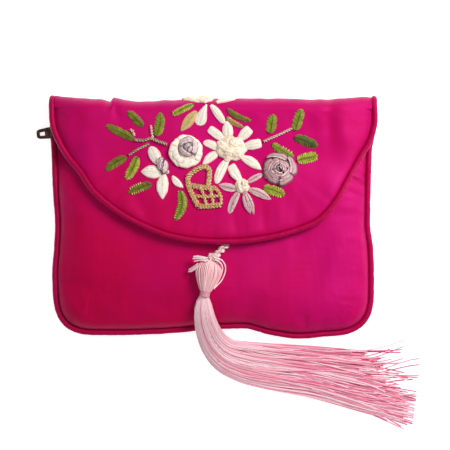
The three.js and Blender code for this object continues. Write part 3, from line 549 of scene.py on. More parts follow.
# %% Laying out shader nodes
def linear(code, alpha=1.0):
    """A colour from its web code, as a shader reads it."""
    parts = [int(code[i : i + 2], 16) / 255 for i in (0, 2, 4)]
    return (*[v / 12.92 if v <= 0.04045 else ((v + 0.055) / 1.055) ** 2.4 for v in parts], alpha)


def lay(tree, kind, inputs=None, **settings):
    """Adds a node, sets what it is, and links or sets its inputs by name or number."""
    made = tree.nodes.new(kind)
    for key, value in settings.items():
        setattr(made, key, value)
    for key, value in (inputs or {}).items():
        if isinstance(value, bpy.types.NodeSocket):
            tree.links.new(value, made.inputs[key])
        else:
            made.inputs[key].default_value = value
    return made


def first_of(tree, kind, inputs=None, **settings):
    """Adds a node and gives its first output."""
    return lay(tree, kind, inputs, **settings).outputs[0]


def blend(tree, factor, a, b):
    """Mixes two colours, each a web code or a socket."""
    a, b = (linear(c) if isinstance(c, str) else c for c in (a, b))
    return lay(tree, "ShaderNodeMix", {0: factor, 6: a, 7: b}, data_type="RGBA").outputs[2]


def sum_up(tree, kind, *values):
    return lay(tree, "ShaderNodeMath", dict(enumerate(values)), operation=kind).outputs[0]


def times(tree, a, b):
    return sum_up(tree, "MULTIPLY", a, b)


def plus(tree, a, b):
    return sum_up(tree, "ADD", a, b)


def scaled(tree, vector, by):
    return first_of(tree, "ShaderNodeVectorMath", {0: vector, 3: by}, operation="SCALE")


def noise(tree, vector, **inputs):
    return first_of(tree, "ShaderNodeTexNoise", {"Vector": vector, **inputs})


def span(tree, value, low, high, to_low=0.0, to_high=1.0):
    return first_of(tree, "ShaderNodeMapRange", {0: value, 1: low, 2: high, 3: to_low, 4: to_high})


def group(name, inputs, outputs, build):
    """A node group with named number inputs and outputs, built once."""
    tree = bpy.data.node_groups.new(name, "ShaderNodeTree")
    for key, value in inputs.items():
        kind = "NodeSocketVector" if value is None else "NodeSocketFloat"
        made = tree.interface.new_socket(key, in_out="INPUT", socket_type=kind)
        if value is not None:
            made.default_value = value
    for key in outputs:
        tree.interface.new_socket(key, in_out="OUTPUT", socket_type="NodeSocketFloat")
    given = tree.nodes.new("NodeGroupInput")
    result = tree.nodes.new("NodeGroupOutput")
    for key, value in build(tree, given.outputs).items():
        tree.links.new(value, result.inputs[key])
    return tree


def use(tree, what, **inputs):
    """Places a group; underscores in the input names stand for spaces."""
    named = {key.replace("_", " "): value for key, value in inputs.items()}
    return lay(tree, "ShaderNodeGroup", named, node_tree=what).outputs


def finish(name, **sockets):
    """A new material: its tree, its shader and the place on the object."""
    material = bpy.data.materials.new(name)
    material.use_nodes = True
    tree = material.node_tree
    shader = tree.nodes["Principled BSDF"]
    for key, value in sockets.items():
        shader.inputs[key.replace("_", " ")].default_value = value
    spot = lay(tree, "ShaderNodeTexCoord").outputs["Object"]
    return material, tree, shader, spot


def value_of(tree, key):
    return lay(tree, "ShaderNodeAttribute", attribute_name=key).outputs["Fac"]


def bump(tree, shader, height, strength, distance):
    made = lay(tree, "ShaderNodeBump", {"Strength": strength, "Distance": distance, "Height": height})
    tree.links.new(made.outputs[0], shader.inputs["Normal"])


def paint(tree, shader, colour):
    tree.links.new(colour, shader.inputs["Base Color"])


# %% Shared effects
def build_weave(tree, given):
    """Threads over and under each other: two sets of waves across each other."""
    place_ = scaled(tree, given["Place"], given["Threads"])
    warp = lay(tree, "ShaderNodeTexWave", {"Vector": place_, "Scale": 1.0, "Distortion": 0.6, "Detail": 1.0})
    warp.bands_direction = "X"
    weft = lay(tree, "ShaderNodeTexWave", {"Vector": place_, "Scale": 0.35, "Distortion": 0.6, "Detail": 1.0})
    weft.bands_direction = "Y"
    height = plus(tree, warp.outputs["Fac"], times(tree, weft.outputs["Fac"], 0.35))
    return {"Height": height}


weave = group("weave", {"Place": None, "Threads": 400.0}, ["Height"], build_weave)


def build_dye(tree, given):
    """Silk takes dye unevenly and shows light and dark patches as it bends."""
    wide = noise(tree, given["Place"], Scale=given["Patches"], Detail=3.0, Roughness=0.55)
    fine = noise(tree, given["Place"], Scale=times(tree, given["Patches"], 5.0), Detail=2.0)
    both = plus(tree, times(tree, wide, 0.75), times(tree, fine, 0.25))
    return {"Mask": span(tree, both, 0.36, 0.64), "Slub": span(tree, fine, 0.3, 0.7)}


dye = group("uneven dye", {"Place": None, "Patches": 40.0}, ["Mask", "Slub"], build_dye)


def build_grain(tree, given):
    """Fine lines that run along a ribbon."""
    along = {"Scale": given["Lines"], "W": given["Across"], "Detail": 2.0}
    lines = first_of(tree, "ShaderNodeTexNoise", along, noise_dimensions="1D")
    spots = noise(tree, given["Place"], Scale=900.0, Detail=1.0)
    both = plus(tree, times(tree, lines, 0.7), times(tree, spots, 0.3))
    return {"Height": both, "Mask": span(tree, both, 0.35, 0.65)}


grain = group("ribbon grain", {"Place": None, "Across": 0.0, "Lines": 6.0}, ["Height", "Mask"], build_grain)


def build_twist(tree, given):
    """Slanting plies of a spun thread: stripes that wind round it as they run along."""
    turn = plus(tree, times(tree, given["Along"], given["Turns"]), given["Around"])
    ply = sum_up(tree, "SINE", times(tree, turn, 2 * math.pi * 3))
    return {"Height": span(tree, ply, -1.0, 1.0)}


twist = group("thread twist", {"Along": 0.0, "Around": 0.0, "Turns": 1.0}, ["Height"], build_twist)


# %% Satin
def satin(name, shade, light, **sockets):
    material, tree, shader, spot = finish(
        name,
        Roughness=0.42,
        Specular_IOR_Level=0.58,
        Specular_Tint=linear("FF5CD4"),
        Sheen_Weight=0.1,
        Sheen_Roughness=0.4,
        Sheen_Tint=linear("F030B0"),
        Anisotropic=0.3,
        **sockets,
    )
    tone = use(tree, dye, Place=spot, Patches=26.0)
    # Painted light: the panels' own value, mixed with the uneven dye, makes the satin pinker where the light falls,
    # towards the upper right, and deeper crimson towards the lower left.
    flush = plus(tree, times(tree, tone["Mask"], 0.35), times(tree, value_of(tree, "flush"), 0.65))
    colour = blend(tree, flush, shade, light)
    # Painted shade: puckers, dents, seams and the fold are darkened towards deep crimson.
    colour = blend(tree, times(tree, value_of(tree, "crease"), 0.75), colour, "7A0020")
    paint(tree, shader, colour)
    tree.links.new(span(tree, tone["Slub"], 0, 1, 0.5, 0.62), shader.inputs["Roughness"])
    bump(tree, shader, use(tree, weave, Place=spot, Threads=520.0)["Height"], 0.1, 0.00008)
    return material


magenta_satin = satin("magenta satin", "BC0034", "C20464")
# The piping is the same satin, painted darker as shade along the seams.
shaded_piping_satin = satin("piping satin", "A60034", "B80050")
print("satin laid out with", len(magenta_satin.node_tree.nodes), "nodes")

# %% [markdown]
# ## Puckers beside a seam
# Where cloth is gathered into a seam it puckers: short ridges run in from the piping and fade. To lay them we need each
# point's nearest place on the seam, so that the ridges stand square to it.


# %% Puckers
def nearest(x, y, line):
    """Distance to a line of points, and how far along it that is."""
    points = np.stack([np.ravel(x), np.ravel(y)], 1).astype(np.float32)
    line = np.asarray(line[:, :2], np.float32)
    along = np.concatenate([[0], np.cumsum(np.linalg.norm(np.diff(line, axis=0), axis=1))])
    far, at = np.empty(len(points)), np.empty(len(points))
    for i in range(0, len(points), 8000):
        d = ((points[i : i + 8000, None] - line[None]) ** 2).sum(-1)
        j = d.argmin(1)
        far[i : i + 8000], at[i : i + 8000] = np.sqrt(d[np.arange(len(j)), j]), along[j]
    return far.reshape(np.shape(x)), at.reshape(np.shape(x))


def pucker(far, at, size, reach, seed, waves=14):
    """Ridges square to the seam, about size apart, fading over reach."""
    random = np.random.default_rng(seed)
    total = 0
    for _ in range(waves):
        n = 2 * math.pi / (size * random.uniform(0.6, 1.9))
        strong = 0.6 + 0.4 * np.sin(at * random.uniform(0.03, 0.12) + random.uniform(0, 6))
        total = total + strong * np.cos(n * at + random.uniform(0, 6) + 0.05 * far * random.uniform(-2, 2))
    return total / math.sqrt(waves) * np.exp(-far / reach) * smooth(0, 1.2, far)


# %% [markdown]
# ## Letting the satin fill
# Real stuffing pushes the satin out unevenly between its seams. We let a coarse copy of a panel's outside act as cloth:
# it is a little larger than its frame, held along its border and blown up gently for 20 frames with no gravity. How far
# each point moved, capped to 0.7 mm, is then added to the fine grid.


# %% Cloth pass
def filled(name, grid, held, rows=30, columns=46, most=0.7, frames=20):
    """How far each point of a grid rises when a coarse copy fills like a cushion."""
    r, c = (np.linspace(0, n - 1, m).astype(int) for n, m in zip(grid.shape, (rows, columns)))
    coarse = grid[np.ix_(r, c)]
    piece = mesh_of(name, coarse, grid_faces(rows, columns))
    border_ = np.flatnonzero(held[np.ix_(r, c)].ravel())
    pins = piece.vertex_groups.new(name="held")
    pins.add([int(i) for i in border_], 1.0, "ADD")
    cloth = piece.modifiers.new("fill", "CLOTH")
    cloth.settings.quality = 6
    cloth.settings.mass = 0.1
    cloth.settings.tension_stiffness = cloth.settings.compression_stiffness = 12
    cloth.settings.bending_stiffness = 0.2
    cloth.settings.use_pressure = True
    cloth.settings.uniform_pressure_force = 4
    cloth.settings.vertex_group_mass = "held"
    cloth.settings.shrink_min = -0.03
    cloth.settings.effector_weights.gravity = 0
    cloth.point_cache.frame_start, cloth.point_cache.frame_end = 1, frames
    for frame_number in range(1, frames + 1):
        bpy.context.scene.frame_set(frame_number)
    grown = piece.evaluated_get(bpy.context.evaluated_depsgraph_get())
    moved = np.empty(rows * columns * 3, np.float32)
    grown.data.vertices.foreach_get("co", moved)
    lift = (moved.reshape(rows, columns, 3)[..., 2] / MM) - coarse[..., 2]
    bpy.data.objects.remove(piece)
    bpy.context.scene.frame_set(1)
    lift = lift - np.median(lift)
    lift = np.clip(lift * most / max(1e-3, np.percentile(np.abs(lift), 92)), -most, most)
    fr, fc = (np.interp(np.arange(n), at, np.arange(len(at))) for n, at in zip(grid.shape, (r, c)))
    i, j = np.minimum(fr.astype(int), rows - 2)[:, None], np.minimum(fc.astype(int), columns - 2)[None]
    u, v = fr[:, None] - i, fc[None] - j
    u, v = u * u * (3 - 2 * u), v * v * (3 - 2 * v)
    full = mix(mix(lift[i, j], lift[i + 1, j], u), mix(lift[i, j + 1], lift[i + 1, j + 1], u), v)
    print(name, "moved", round(float(np.abs(full).mean()), 2), "mm on average")
    return full


# %% [markdown]
# ## The front panel
# The front of the pouch is a stuffed panel of satin that is sewn into the piping on three sides and ends in the zip's
# tape under the flap. It is made as a fine grid over the same outline as its solid, with soft swells and puckers that
# the stuffing and the seam leave.


# %% Front panel
def body_border(inset, count=900):
    """The outline of the body, from the left end of the piping round the bottom to the right end."""
    turn = np.linspace(0, 1, count // 3)
    top = mouth_y + 10 + purse_height / 2
    up, across = mix(top, inset, turn), mix(inset, half_width, turn)
    parts = [
        on_body(-1, np.full_like(up, inset), up, inset),
        on_body(-1, across, np.full_like(up, inset), inset),
        on_body(1, across[::-1], np.full_like(up, inset), inset),
        on_body(1, np.full_like(up, inset), up[::-1], inset),
    ]
    line = np.concatenate([np.stack(p[:2], 1) for p in parts])
    return line[np.concatenate([[True], np.linalg.norm(np.diff(line, axis=0), axis=1) > 0.05])]


border = body_border(piping_radius)


def eased(count, ends=1.25):
    t = np.linspace(-1, 1, count) * ends
    return np.sin(t) / math.sin(ends)


def front_panel(columns=250, rows=150, inner_rows=30):
    c = eased(columns) * (half_width - tucked_in)
    full = mouth_y + purse_height / 2 - tucked_in
    up = full * np.linspace(0, 1, rows) ** 1.3
    c, up = np.meshgrid(c, up)
    x, y, depth = on_body(np.sign(c), half_width - np.abs(c), tucked_in + up, tucked_in)
    y = np.minimum(y, mouth_y)
    far, at = nearest(x, y, border)
    pucks = 0.2 * pucker(far, at, 6.5, 6.0, 3) + 0.16 * pucker(far, at, 12.0, 14.0, 4)
    soft = 0.35 * ripple(x, y, 34, 11, 20, 1.6) + 0.1 * ripple(x, y, 12, 12, 70, 2.0)
    loose = np.minimum(1, 3 * np.maximum(0, depth)) * smooth(0, 3, far - piping_radius)
    z = front_top(x, y, depth) + (pucks + soft) * loose
    held = (far < 3) | (y > mouth_y - 2)
    z = z + filled("front_fill", np.stack([x, y, z], -1), held) * loose * smooth(0, 6, mouth_y - y)
    # Painted shade in the pucker valleys and in a band beside the piping.
    crease = np.clip(-pucks * 1.6, 0, 1) * 0.4 + 0.5 * np.exp(-(((far - 1.5) / 0.8) ** 2))
    outer = np.stack([x, y, z], -1)
    rows_in = np.linspace(0, rows - 1, inner_rows).astype(int)
    inner = outer[rows_in].copy()
    inner[..., 2] = np.maximum(seam(inner[..., 1]) + 0.05, inner[..., 2] - wall * rise(depth[rows_in]))
    # More painted shade in the three dents on the right, and towards the lower left, away from the light.
    crease = crease + 0.5 * np.clip(-folds(FRONT_FOLDS[:3], x, y) - 0.25, 0, 1)
    crease = crease + 0.2 * smooth(0.25, -0.7, x / half_width) * smooth(-5, -40, y)
    # Painted light: pinker towards the upper right, where the light falls, with a little random wobble.
    flush = smooth(-0.75, 0.75, 0.75 * x / half_width + 0.55 * (y + 20) / 40 + 0.15 * ripple(x, y, 40, 15)) * 0.9
    return lined("satin_front", outer, inner, rows_in, False, crease=crease, flush=flush)


satin_front = wear(front_panel(), "front_panel", slot="satin")
print("front panel:", len(satin_front.data.polygons), "faces")

# %% [markdown]
# ## Back and flap
# The back is the same cut of satin as the flap: it runs up the back, turns over the fold and comes down over the front.
# The flap is a patch stretched between the fold, its two short sides and its long curved edge, so its grid follows the
# edge the way the cloth does. Beside its piping the flap rolls down, which leaves the dark groove inside the piping.


# %% The flap's outline
EDGE_STEPS = 600
EDGE = curve_through([(r * stitch, flap_top_line - d * stitch) for r, d in FLAP_EDGE], EDGE_STEPS + 1)


def flap_edge(w, inset):
    """Places inside the flap's edge; w is the share of the way round it."""
    spot = np.clip(w, 0, 1) * EDGE_STEPS
    i = np.minimum(EDGE_STEPS - 1, np.floor(spot).astype(int))
    t = (spot - i)[..., None]
    way = unit_of(EDGE[np.minimum(EDGE_STEPS, i + 7)] - EDGE[np.maximum(0, i - 6)])
    p = mix(EDGE[i], EDGE[i + 1], t)
    return p + np.stack([-way[..., 1], way[..., 0]], -1) * inset


def edge_share(test):
    """How far round the edge the test is first met."""
    return int(np.argmax(test)) / EDGE_STEPS


left_start = edge_share(EDGE[:, 1] < fold_y(np.array(-72.0)))
left_shoulder = edge_share(EDGE[:, 1] < flap_top_line - 38 * stitch)
right_shoulder = edge_share((EDGE[:, 0] > 0) & (EDGE[:, 1] > flap_top_line - 44 * stitch))
right_start = edge_share((EDGE[:, 0] > 0) & (EDGE[:, 1] > fold_y(np.array(72.0))))


def on_flap(s, t, inset):
    """s across from -1 to 1, t from the fold to the free edge."""
    s, t = np.broadcast_arrays(s, t)
    sigma = (s + 1) / 2
    left = lambda k: flap_edge(mix(left_start, left_shoulder, k), inset)
    right = lambda k: flap_edge(mix(right_start, right_shoulder, k), inset)
    ones = np.ones_like(s)
    l0, l1, r0, r1 = left(0 * ones), left(ones), right(0 * ones), right(ones)
    x = mix(l0[..., 0], r0[..., 0], sigma)
    fold = np.stack([x, fold_y(x)], -1)
    free = flap_edge(mix(left_shoulder, right_shoulder, sigma), inset)
    k, g = t[..., None], sigma[..., None]
    p = mix(fold, free, k)
    p = p + (left(t) - mix(l0, l1, k)) * (1 - g) + (right(t) - mix(r0, r1, k)) * g
    return p[..., 0], p[..., 1]


# %% Back and flap
def cover(columns=230, back_rows=70, turn_rows=26, flap_rows=170):
    c = eased(columns) * (half_width - tucked_in)
    s = c / (half_width - tucked_in)
    full = flap_top_line - fold_reach + purse_height / 2 - tucked_in
    cc, up = np.meshgrid(c, (full * np.linspace(0, 1, back_rows) ** 1.3)[:-1])
    x, y, depth = on_body(np.sign(cc), half_width - np.abs(cc), tucked_in + up, tucked_in)
    open_ = smooth(mouth_y + 2.5, mouth_y + 13.5, y)
    far, at = nearest(x, y, border)
    pucks = 0.35 * pucker(far, at, 6.0, 6.0, 5) * (1 - open_)
    z = mix(seam(y) - 0.15, 0, open_) * (1 - rise(np.minimum(1, depth * 1.5))) + np.abs(pucks) * smooth(0.5, 3, far)
    back = np.stack([x, y, z], -1)
    # Painted shade in a band along the seam.
    back_seam_shade = 0.8 * np.exp(-(((far - 1.5) / 0.9) ** 2)) * (1 - open_)

    x, y = on_flap(*np.meshgrid(s, [0.0]), tucked_in)
    b = flap_top(x, y) / 2
    a = math.pi * np.linspace(0, 1, turn_rows)[:, None]
    lift = 0.1 * ripple(x, 0 * a, 9, 21) * np.sin(a)
    turn = np.stack([x + 0 * a, y + (fold_reach + lift) * np.sin(a), b - (b + lift) * np.cos(a)], -1)
    # Painted shade across the fold, darkest at its crest.
    fold_shade = 0.4 * np.sin(a) + 0 * turn[..., 0]

    ss, tt = np.meshgrid(s, np.linspace(0, 1, flap_rows)[1:] ** 0.95)
    x, y = on_flap(ss, tt, tucked_in)
    far, at = nearest(x, y, EDGE)
    below = fold_y(x) - y
    pucks = 0.16 * pucker(far, at, 6.0, 6.0, 7) + 0.14 * pucker(far, at, 11.0, 15.0, 8)
    drop = 1.35 * (1 - rise(np.clip((far - tucked_in) / 4.2, 0, 1)))
    lay_in = smooth(0, 4, far - piping_radius) * smooth(0, 10, below)
    z = flap_top(x, y) + pucks * lay_in + swell(x, below) * smooth(0, 4, far - piping_radius) - drop
    flap = np.stack([x, y, z], -1)
    # Painted shade in the pucker valleys and in the groove inside the piping.
    flap_pucker_and_groove_shade = np.clip(-pucks * 2.0, 0, 1) * 0.4 + 0.7 * np.exp(-(((far - 1.9) / 0.9) ** 2))

    outer = np.concatenate([back, turn, flap])
    painted_shade_marks = np.concatenate([back_seam_shade, fold_shade, flap_pucker_and_groove_shade])
    x, y = outer[..., 0], outer[..., 1]
    # Painted light: pinker towards the right and up towards the fold, where the light falls.
    flush = smooth(-0.9, 0.55, 0.55 * x / half_width + 0.9 * (y - 8) / 46 + 0.12 * ripple(x, y, 40, 16)) * 0.95
    print("cover grid:", outer.shape)
    return outer, painted_shade_marks, flush


def cover_lining(outer):
    """The inside of the same cut, one wall further in, on fewer rows."""
    rows, columns = outer.shape[:2]
    down = np.gradient(outer, axis=0)
    across = np.gradient(outer, axis=1)
    out = np.cross(down, across)
    out /= np.maximum(1e-6, np.linalg.norm(out, axis=-1, keepdims=True))
    pick = np.unique(np.concatenate([np.linspace(0, rows - 1, 60).astype(int), [rows - 1]]))
    edge = np.minimum(1, 6 * (1 - np.abs(eased(columns))))[None, :, None]
    ends = np.minimum(1, (rows - 1 - pick) / 6)[:, None, None]
    thick = mix(0.9, wall, np.minimum(edge, ends))
    return outer[pick] - out[pick] * thick, pick


outer, painted_shade_marks, flush = cover()
inner, pick = cover_lining(outer)
cloth = lined("satin_cover", outer, inner, pick, True, crease=painted_shade_marks, flush=flush)
satin_cover = wear(cloth, "back_flap_panel", slot="satin")
print("cover:", len(satin_cover.data.polygons), "faces")

# %% [markdown]
# ## Threads and cords with Geometry Nodes
# Piping, stems, gold cord and the tassel are all round things that follow a line, so they share two node trees. The
# first gives a line a round section with a little roughness. The second lays several plies side by side and turns them
# round each other as they run along, by tilting the line. Each line can be thicker or thinner from point to point.


# %% Laying out geometry trees
def geometry_tree(name, inputs, build):
    """A geometry tree with named inputs; its result is realized and gets its finish at the end."""
    tree = bpy.data.node_groups.new(name, "GeometryNodeTree")
    kinds = {float: "NodeSocketFloat", int: "NodeSocketInt", str: "NodeSocketObject", type(None): "NodeSocketMaterial"}
    tree.interface.new_socket("Geometry", in_out="INPUT", socket_type="NodeSocketGeometry")
    for key, value in inputs.items():
        made = tree.interface.new_socket(key, in_out="INPUT", socket_type=kinds[type(value)])
        if isinstance(value, (float, int)):
            made.default_value = value
    tree.interface.new_socket("Geometry", in_out="OUTPUT", socket_type="NodeSocketGeometry")
    given = tree.nodes.new("NodeGroupInput").outputs
    shape = build(tree, given)
    real = first_of(tree, "GeometryNodeRealizeInstances", {0: shape})
    dressed = first_of(tree, "GeometryNodeSetMaterial", {"Geometry": real, "Material": given["Finish"]})
    tree.links.new(dressed, tree.nodes.new("NodeGroupOutput").inputs[0])
    return tree


def number(tree, key, kind="FLOAT"):
    return lay(tree, "GeometryNodeInputNamedAttribute", {"Name": key}, data_type=kind).outputs["Attribute"]


def keep(tree, shape, key, value, kind="FLOAT"):
    given = {"Geometry": shape, "Name": key, "Value": value}
    return first_of(tree, "GeometryNodeStoreNamedAttribute", given, data_type=kind, domain="POINT")


def grow(piece, tree, **inputs):
    """Runs a tree on a piece and gives back the result as a plain mesh."""
    name = piece.name
    modifier = piece.modifiers.new("grow", "NODES")
    modifier.node_group = tree
    sockets = {s.name: s.identifier for s in tree.interface.items_tree if s.in_out == "INPUT"}
    for key, value in inputs.items():
        modifier[sockets[key.replace("_", " ")]] = value
    grown = piece.evaluated_get(bpy.context.evaluated_depsgraph_get())
    mesh = bpy.data.meshes.new_from_object(grown)
    bpy.data.objects.remove(piece)
    mesh.name = name
    return put(name, mesh)


def lines_of(name, ways, thick=None, tint=None):
    """Lines as a mesh of edges. Ways is a list of point rows in millimetres, thick and tint one row for each."""
    counts = [len(w) for w in ways]
    points = np.concatenate(ways)
    starts = np.cumsum([0, *counts])
    pairs = [np.stack([np.arange(a, b - 1), np.arange(a + 1, b)], 1) for a, b in zip(starts[:-1], starts[1:])]
    edges = np.concatenate(pairs)
    mesh = new_mesh(name, points)
    mesh.edges.add(len(edges))
    mesh.edges.foreach_set("vertices", edges.astype(np.int32).ravel())
    for key, value in (("thick", thick), ("tint", tint)):
        value = np.ones(len(ways)) if value is None else value
        note(mesh, key, np.concatenate([np.broadcast_to(v, n) for v, n in zip(value, counts)]))
    mesh.update()
    return put(name, mesh)


# %% Round thread and twisted cord
def follow(tree, given, profile, tilt=None):
    """Sweeps a profile along the piece's lines, and keeps how far along and around each point is."""
    line = first_of(tree, "GeometryNodeMeshToCurve", {0: given["Geometry"]})
    line = first_of(tree, "GeometryNodeSetCurveRadius", {"Curve": line, "Radius": number(tree, "thick")})
    length = lay(tree, "GeometryNodeSplineParameter").outputs["Length"]
    line = keep(tree, line, "along", length)
    if tilt:
        line = first_of(tree, "GeometryNodeSetCurveTilt", {"Curve": line, "Tilt": tilt(length)})
    around = lay(tree, "GeometryNodeSplineParameter").outputs["Factor"]
    profile = keep(tree, profile, "around", around)
    return first_of(tree, "GeometryNodeCurveToMesh", {"Curve": line, "Profile Curve": profile, "Fill Caps": True})


def build_thread(tree, given):
    ring = first_of(tree, "GeometryNodeCurvePrimitiveCircle", {"Resolution": given["Sides"], "Radius": given["Radius"]})
    shape = follow(tree, given, ring)
    spot = first_of(tree, "GeometryNodeInputPosition")
    lumps = {"Vector": spot, "W": given["Seed"], "Scale": given["Lumps"], "Detail": 2.0}
    rough = first_of(tree, "ShaderNodeTexNoise", lumps, noise_dimensions="4D")
    out = first_of(tree, "GeometryNodeInputNormal")
    push = times(tree, sum_up(tree, "SUBTRACT", rough, 0.5), given["Roughness"])
    offset = scaled(tree, out, push)
    shape = first_of(tree, "GeometryNodeSetPosition", {"Geometry": shape, "Offset": offset})
    return first_of(tree, "GeometryNodeSetShadeSmooth", {0: shape})


thread_tree = geometry_tree(
    "round thread",
    {"Radius": 0.001, "Sides": 12, "Roughness": 0.0, "Lumps": 300.0, "Seed": 1.0, "Finish": None},
    build_thread,
)


def build_cord(tree, given):
    index = first_of(tree, "GeometryNodeInputIndex")
    angle = sum_up(tree, "DIVIDE", times(tree, index, 2 * math.pi), given["Plies"])
    reach = times(tree, given["Ply Radius"], given["Spread"])
    x, y = (times(tree, sum_up(tree, kind, angle), reach) for kind in ("COSINE", "SINE"))
    spot = first_of(tree, "ShaderNodeCombineXYZ", {0: x, 1: y})
    centres = first_of(tree, "GeometryNodePoints", {"Count": given["Plies"], "Position": spot})
    ring = first_of(
        tree, "GeometryNodeCurvePrimitiveCircle", {"Resolution": given["Sides"], "Radius": given["Ply Radius"]}
    )
    rings = first_of(tree, "GeometryNodeInstanceOnPoints", {"Points": centres, "Instance": ring})
    rings = first_of(tree, "GeometryNodeRealizeInstances", {0: rings})
    winding = lambda length: sum_up(tree, "DIVIDE", times(tree, length, 2 * math.pi), given["Pitch"])
    shape = follow(tree, given, rings, winding)
    return first_of(tree, "GeometryNodeSetShadeSmooth", {0: shape})


cord_tree = geometry_tree(
    "twisted cord",
    {"Ply Radius": 0.0005, "Plies": 2, "Spread": 0.9, "Pitch": 0.003, "Sides": 8, "Finish": None},
    build_cord,
)


def threads_of(name, ways, radius, sides, finish_, thick=None, tint=None, **inputs):
    """Lines in millimetres made into round threads."""
    lines = lines_of(name, ways, thick, tint)
    return grow(lines, thread_tree, Radius=radius * MM, Sides=sides, Finish=finish_, **inputs)


def cords_of(name, ways, ply, pitch, sides, finish_, thick=None):
    """Lines in millimetres made into cords of two plies."""
    lines = lines_of(name, ways, thick)
    return grow(lines, cord_tree, Ply_Radius=ply * MM, Pitch=pitch * MM, Sides=sides, Finish=finish_)


# %% [markdown]
# ## Piping
# Piping is a cord wrapped in a slant-cut strip of the same satin. One runs round the flap and over the fold at both
# sides, the other round the body seam. Small random lumps along the cord stand for the strip's wrinkles.


# %% Piping
tuck_back = 0.9  # how far the cord stays behind the fold's outside
cord_share = 0.98  # of the room that the piping has
groove = 3.1  # where the cord's height is read, a little inside the flap's edge


def flap_piping_line():
    def over_fold(w):
        p, deep = flap_edge(np.array(w), piping_radius), flap_edge(np.array(w), groove)
        top, low = float(flap_under(*deep)) + wall / 2, piping_radius
        a = math.pi * np.linspace(0, 1, 24)
        y, z = p[1] + (fold_reach - tuck_back) * np.sin(a), (top + low) / 2 - (top - low) / 2 * np.cos(a)
        arc = np.stack([p[0] + 0 * a, y, z], 1)
        end = mouth_y + 10.5
        return np.vstack([[p[0], end, seam_at_mouth - 0.6], [p[0], mix(end, p[1], 0.6), 1.9], arc])

    w = np.linspace(left_start, right_start, 260)[1:-1]
    p, deep = flap_edge(w, piping_radius), flap_edge(w, groove)
    along = np.column_stack([p, flap_under(deep[:, 0], deep[:, 1]) + wall / 2])
    return curve_through(np.vstack([over_fold(left_start), along, over_fold(right_start)[::-1]]), 900, 5)


line = body_border(piping_radius, 600)
body_line = curve_through(np.column_stack([line, seam(line[:, 1])])[::3], 900, 6)
flap_line = flap_piping_line()
wrinkles = {"Roughness": 0.00042, "Lumps": 420.0}
for part, line, seed in (("body", body_line, 3.0), ("flap", flap_line, 5.0)):
    name, node = "piping_" + part, part + "_piping"
    piece = threads_of(name, [line], cord_share * piping_radius, 20, shaded_piping_satin, Seed=seed, **wrinkles)
    wear(piece, node, slot="satin_piping")
    print(name, len(piece.data.polygons), "faces")

# %% [markdown]
# ## Zip
# The zip closes the mouth under the flap: two woven tapes, a nylon coil between them, and an aged brass slider with a
# flat pull that sticks out at the left. Only the slider's end and the pull show when the purse is shut, but the rest is
# there for whoever looks in from the side.

# %% Woven tape and nylon
tape_cloth, tree, shader, spot = finish("zip tape weave", Roughness=0.7, Specular_IOR_Level=0.25, Sheen_Weight=0.2)
rib = use(tree, weave, Place=spot, Threads=1400.0)["Height"]
paint(tree, shader, blend(tree, span(tree, rib, 0.2, 1.0), "780030", "A40C4E"))
bump(tree, shader, rib, 0.5, 0.0001)

nylon, tree, shader, spot = finish("dyed nylon", Roughness=0.3, Specular_IOR_Level=0.5)
tone = use(tree, dye, Place=spot, Patches=200.0)
paint(tree, shader, blend(tree, tone["Mask"], "8A0838", "A81450"))

# %% Aged brass
aged_brass, tree, shader, spot = finish("aged brass", Metallic=1.0, Specular_IOR_Level=0.5)
patches = noise(tree, spot, Scale=420.0, Detail=5.0, Roughness=0.65)
drawn_out = first_of(tree, "ShaderNodeMapping", {"Vector": spot, "Scale": (300.0, 4200.0, 1500.0)})
scratches = noise(tree, drawn_out, Scale=1.0, Detail=3.0)
worn = span(tree, plus(tree, patches, times(tree, scratches, 0.3)), 0.62, 0.84)
paint(tree, shader, blend(tree, worn, "3E2622", "94705A"))
tree.links.new(span(tree, patches, 0.3, 0.7, 0.3, 0.58), shader.inputs["Roughness"])
tree.links.new(span(tree, worn, 0, 1, 0.55, 0.95), shader.inputs["Metallic"])
bump(tree, shader, patches, 0.25, 0.00006)


# %% Tapes
half_tape = 0.35
tape_back_height = 3.1


def zip_height(x):
    return seam_at_mouth + 1.3 + 3 * (1 - (x / (half_width - 6)) ** 2)


def zip_tape(name, ways, node):
    """A flat woven band: rows of (y, z) across it, along the whole mouth."""
    x = np.linspace(-(half_width - 6.6), half_width - 7.6, 120)
    rows_ = [np.stack([x, np.full_like(x, y) if np.isscalar(y) else y(x), z(x)], -1) for y, z in ways]
    top = np.stack(rows_, 1) + [0, 0, half_tape]
    low = np.stack(rows_[::-1], 1) - [0, 0, half_tape]
    ring = np.concatenate([top, low], 1)
    faces = grid_faces(len(x), ring.shape[1], closed=True)[:, ::-1]
    n = ring.shape[1]
    end = (len(x) - 1) * n
    caps = [[i + 1, n - 2 - i, n - 1 - i, i] for i in range(n // 2 - 1)]
    caps = caps + [[end + b for b in q[::-1]] for q in caps]
    return wear(mesh_of(name, ring.reshape(-1, 3), np.vstack([faces, caps]), finish=tape_cloth), node, slot="zip_tape")


edge_height = lambda x: front_top(x, np.full_like(x, mouth_y)) - wall / 2
to_front = [
    (mouth_y - 0.6, edge_height),
    (mouth_y + 0.8, lambda x: (edge_height(x) + zip_height(x)) / 2),
    (mouth_y + 2.2, zip_height),
    (zip_y - 1.2, zip_height),
]
to_back = [
    (zip_y + 1.2, zip_height),
    (zip_y + 3.6, zip_height),
    (zip_y + 5.4, lambda x: (zip_height(x) + tape_back_height) / 2),
    (zip_y + 7.1, lambda x: tape_back_height + 0 * x),
]
zip_tape("tape_front", to_front, "zip_tape_front")
zip_tape("tape_back", to_back, "zip_tape_back")


# %% [markdown]
# The coil is one small tooth laid again and again along the mouth. A node tree puts a tooth on each point of a line,
# turned and sized by values that the points carry, so the same tree also lays the stitches and beads of the leaves.

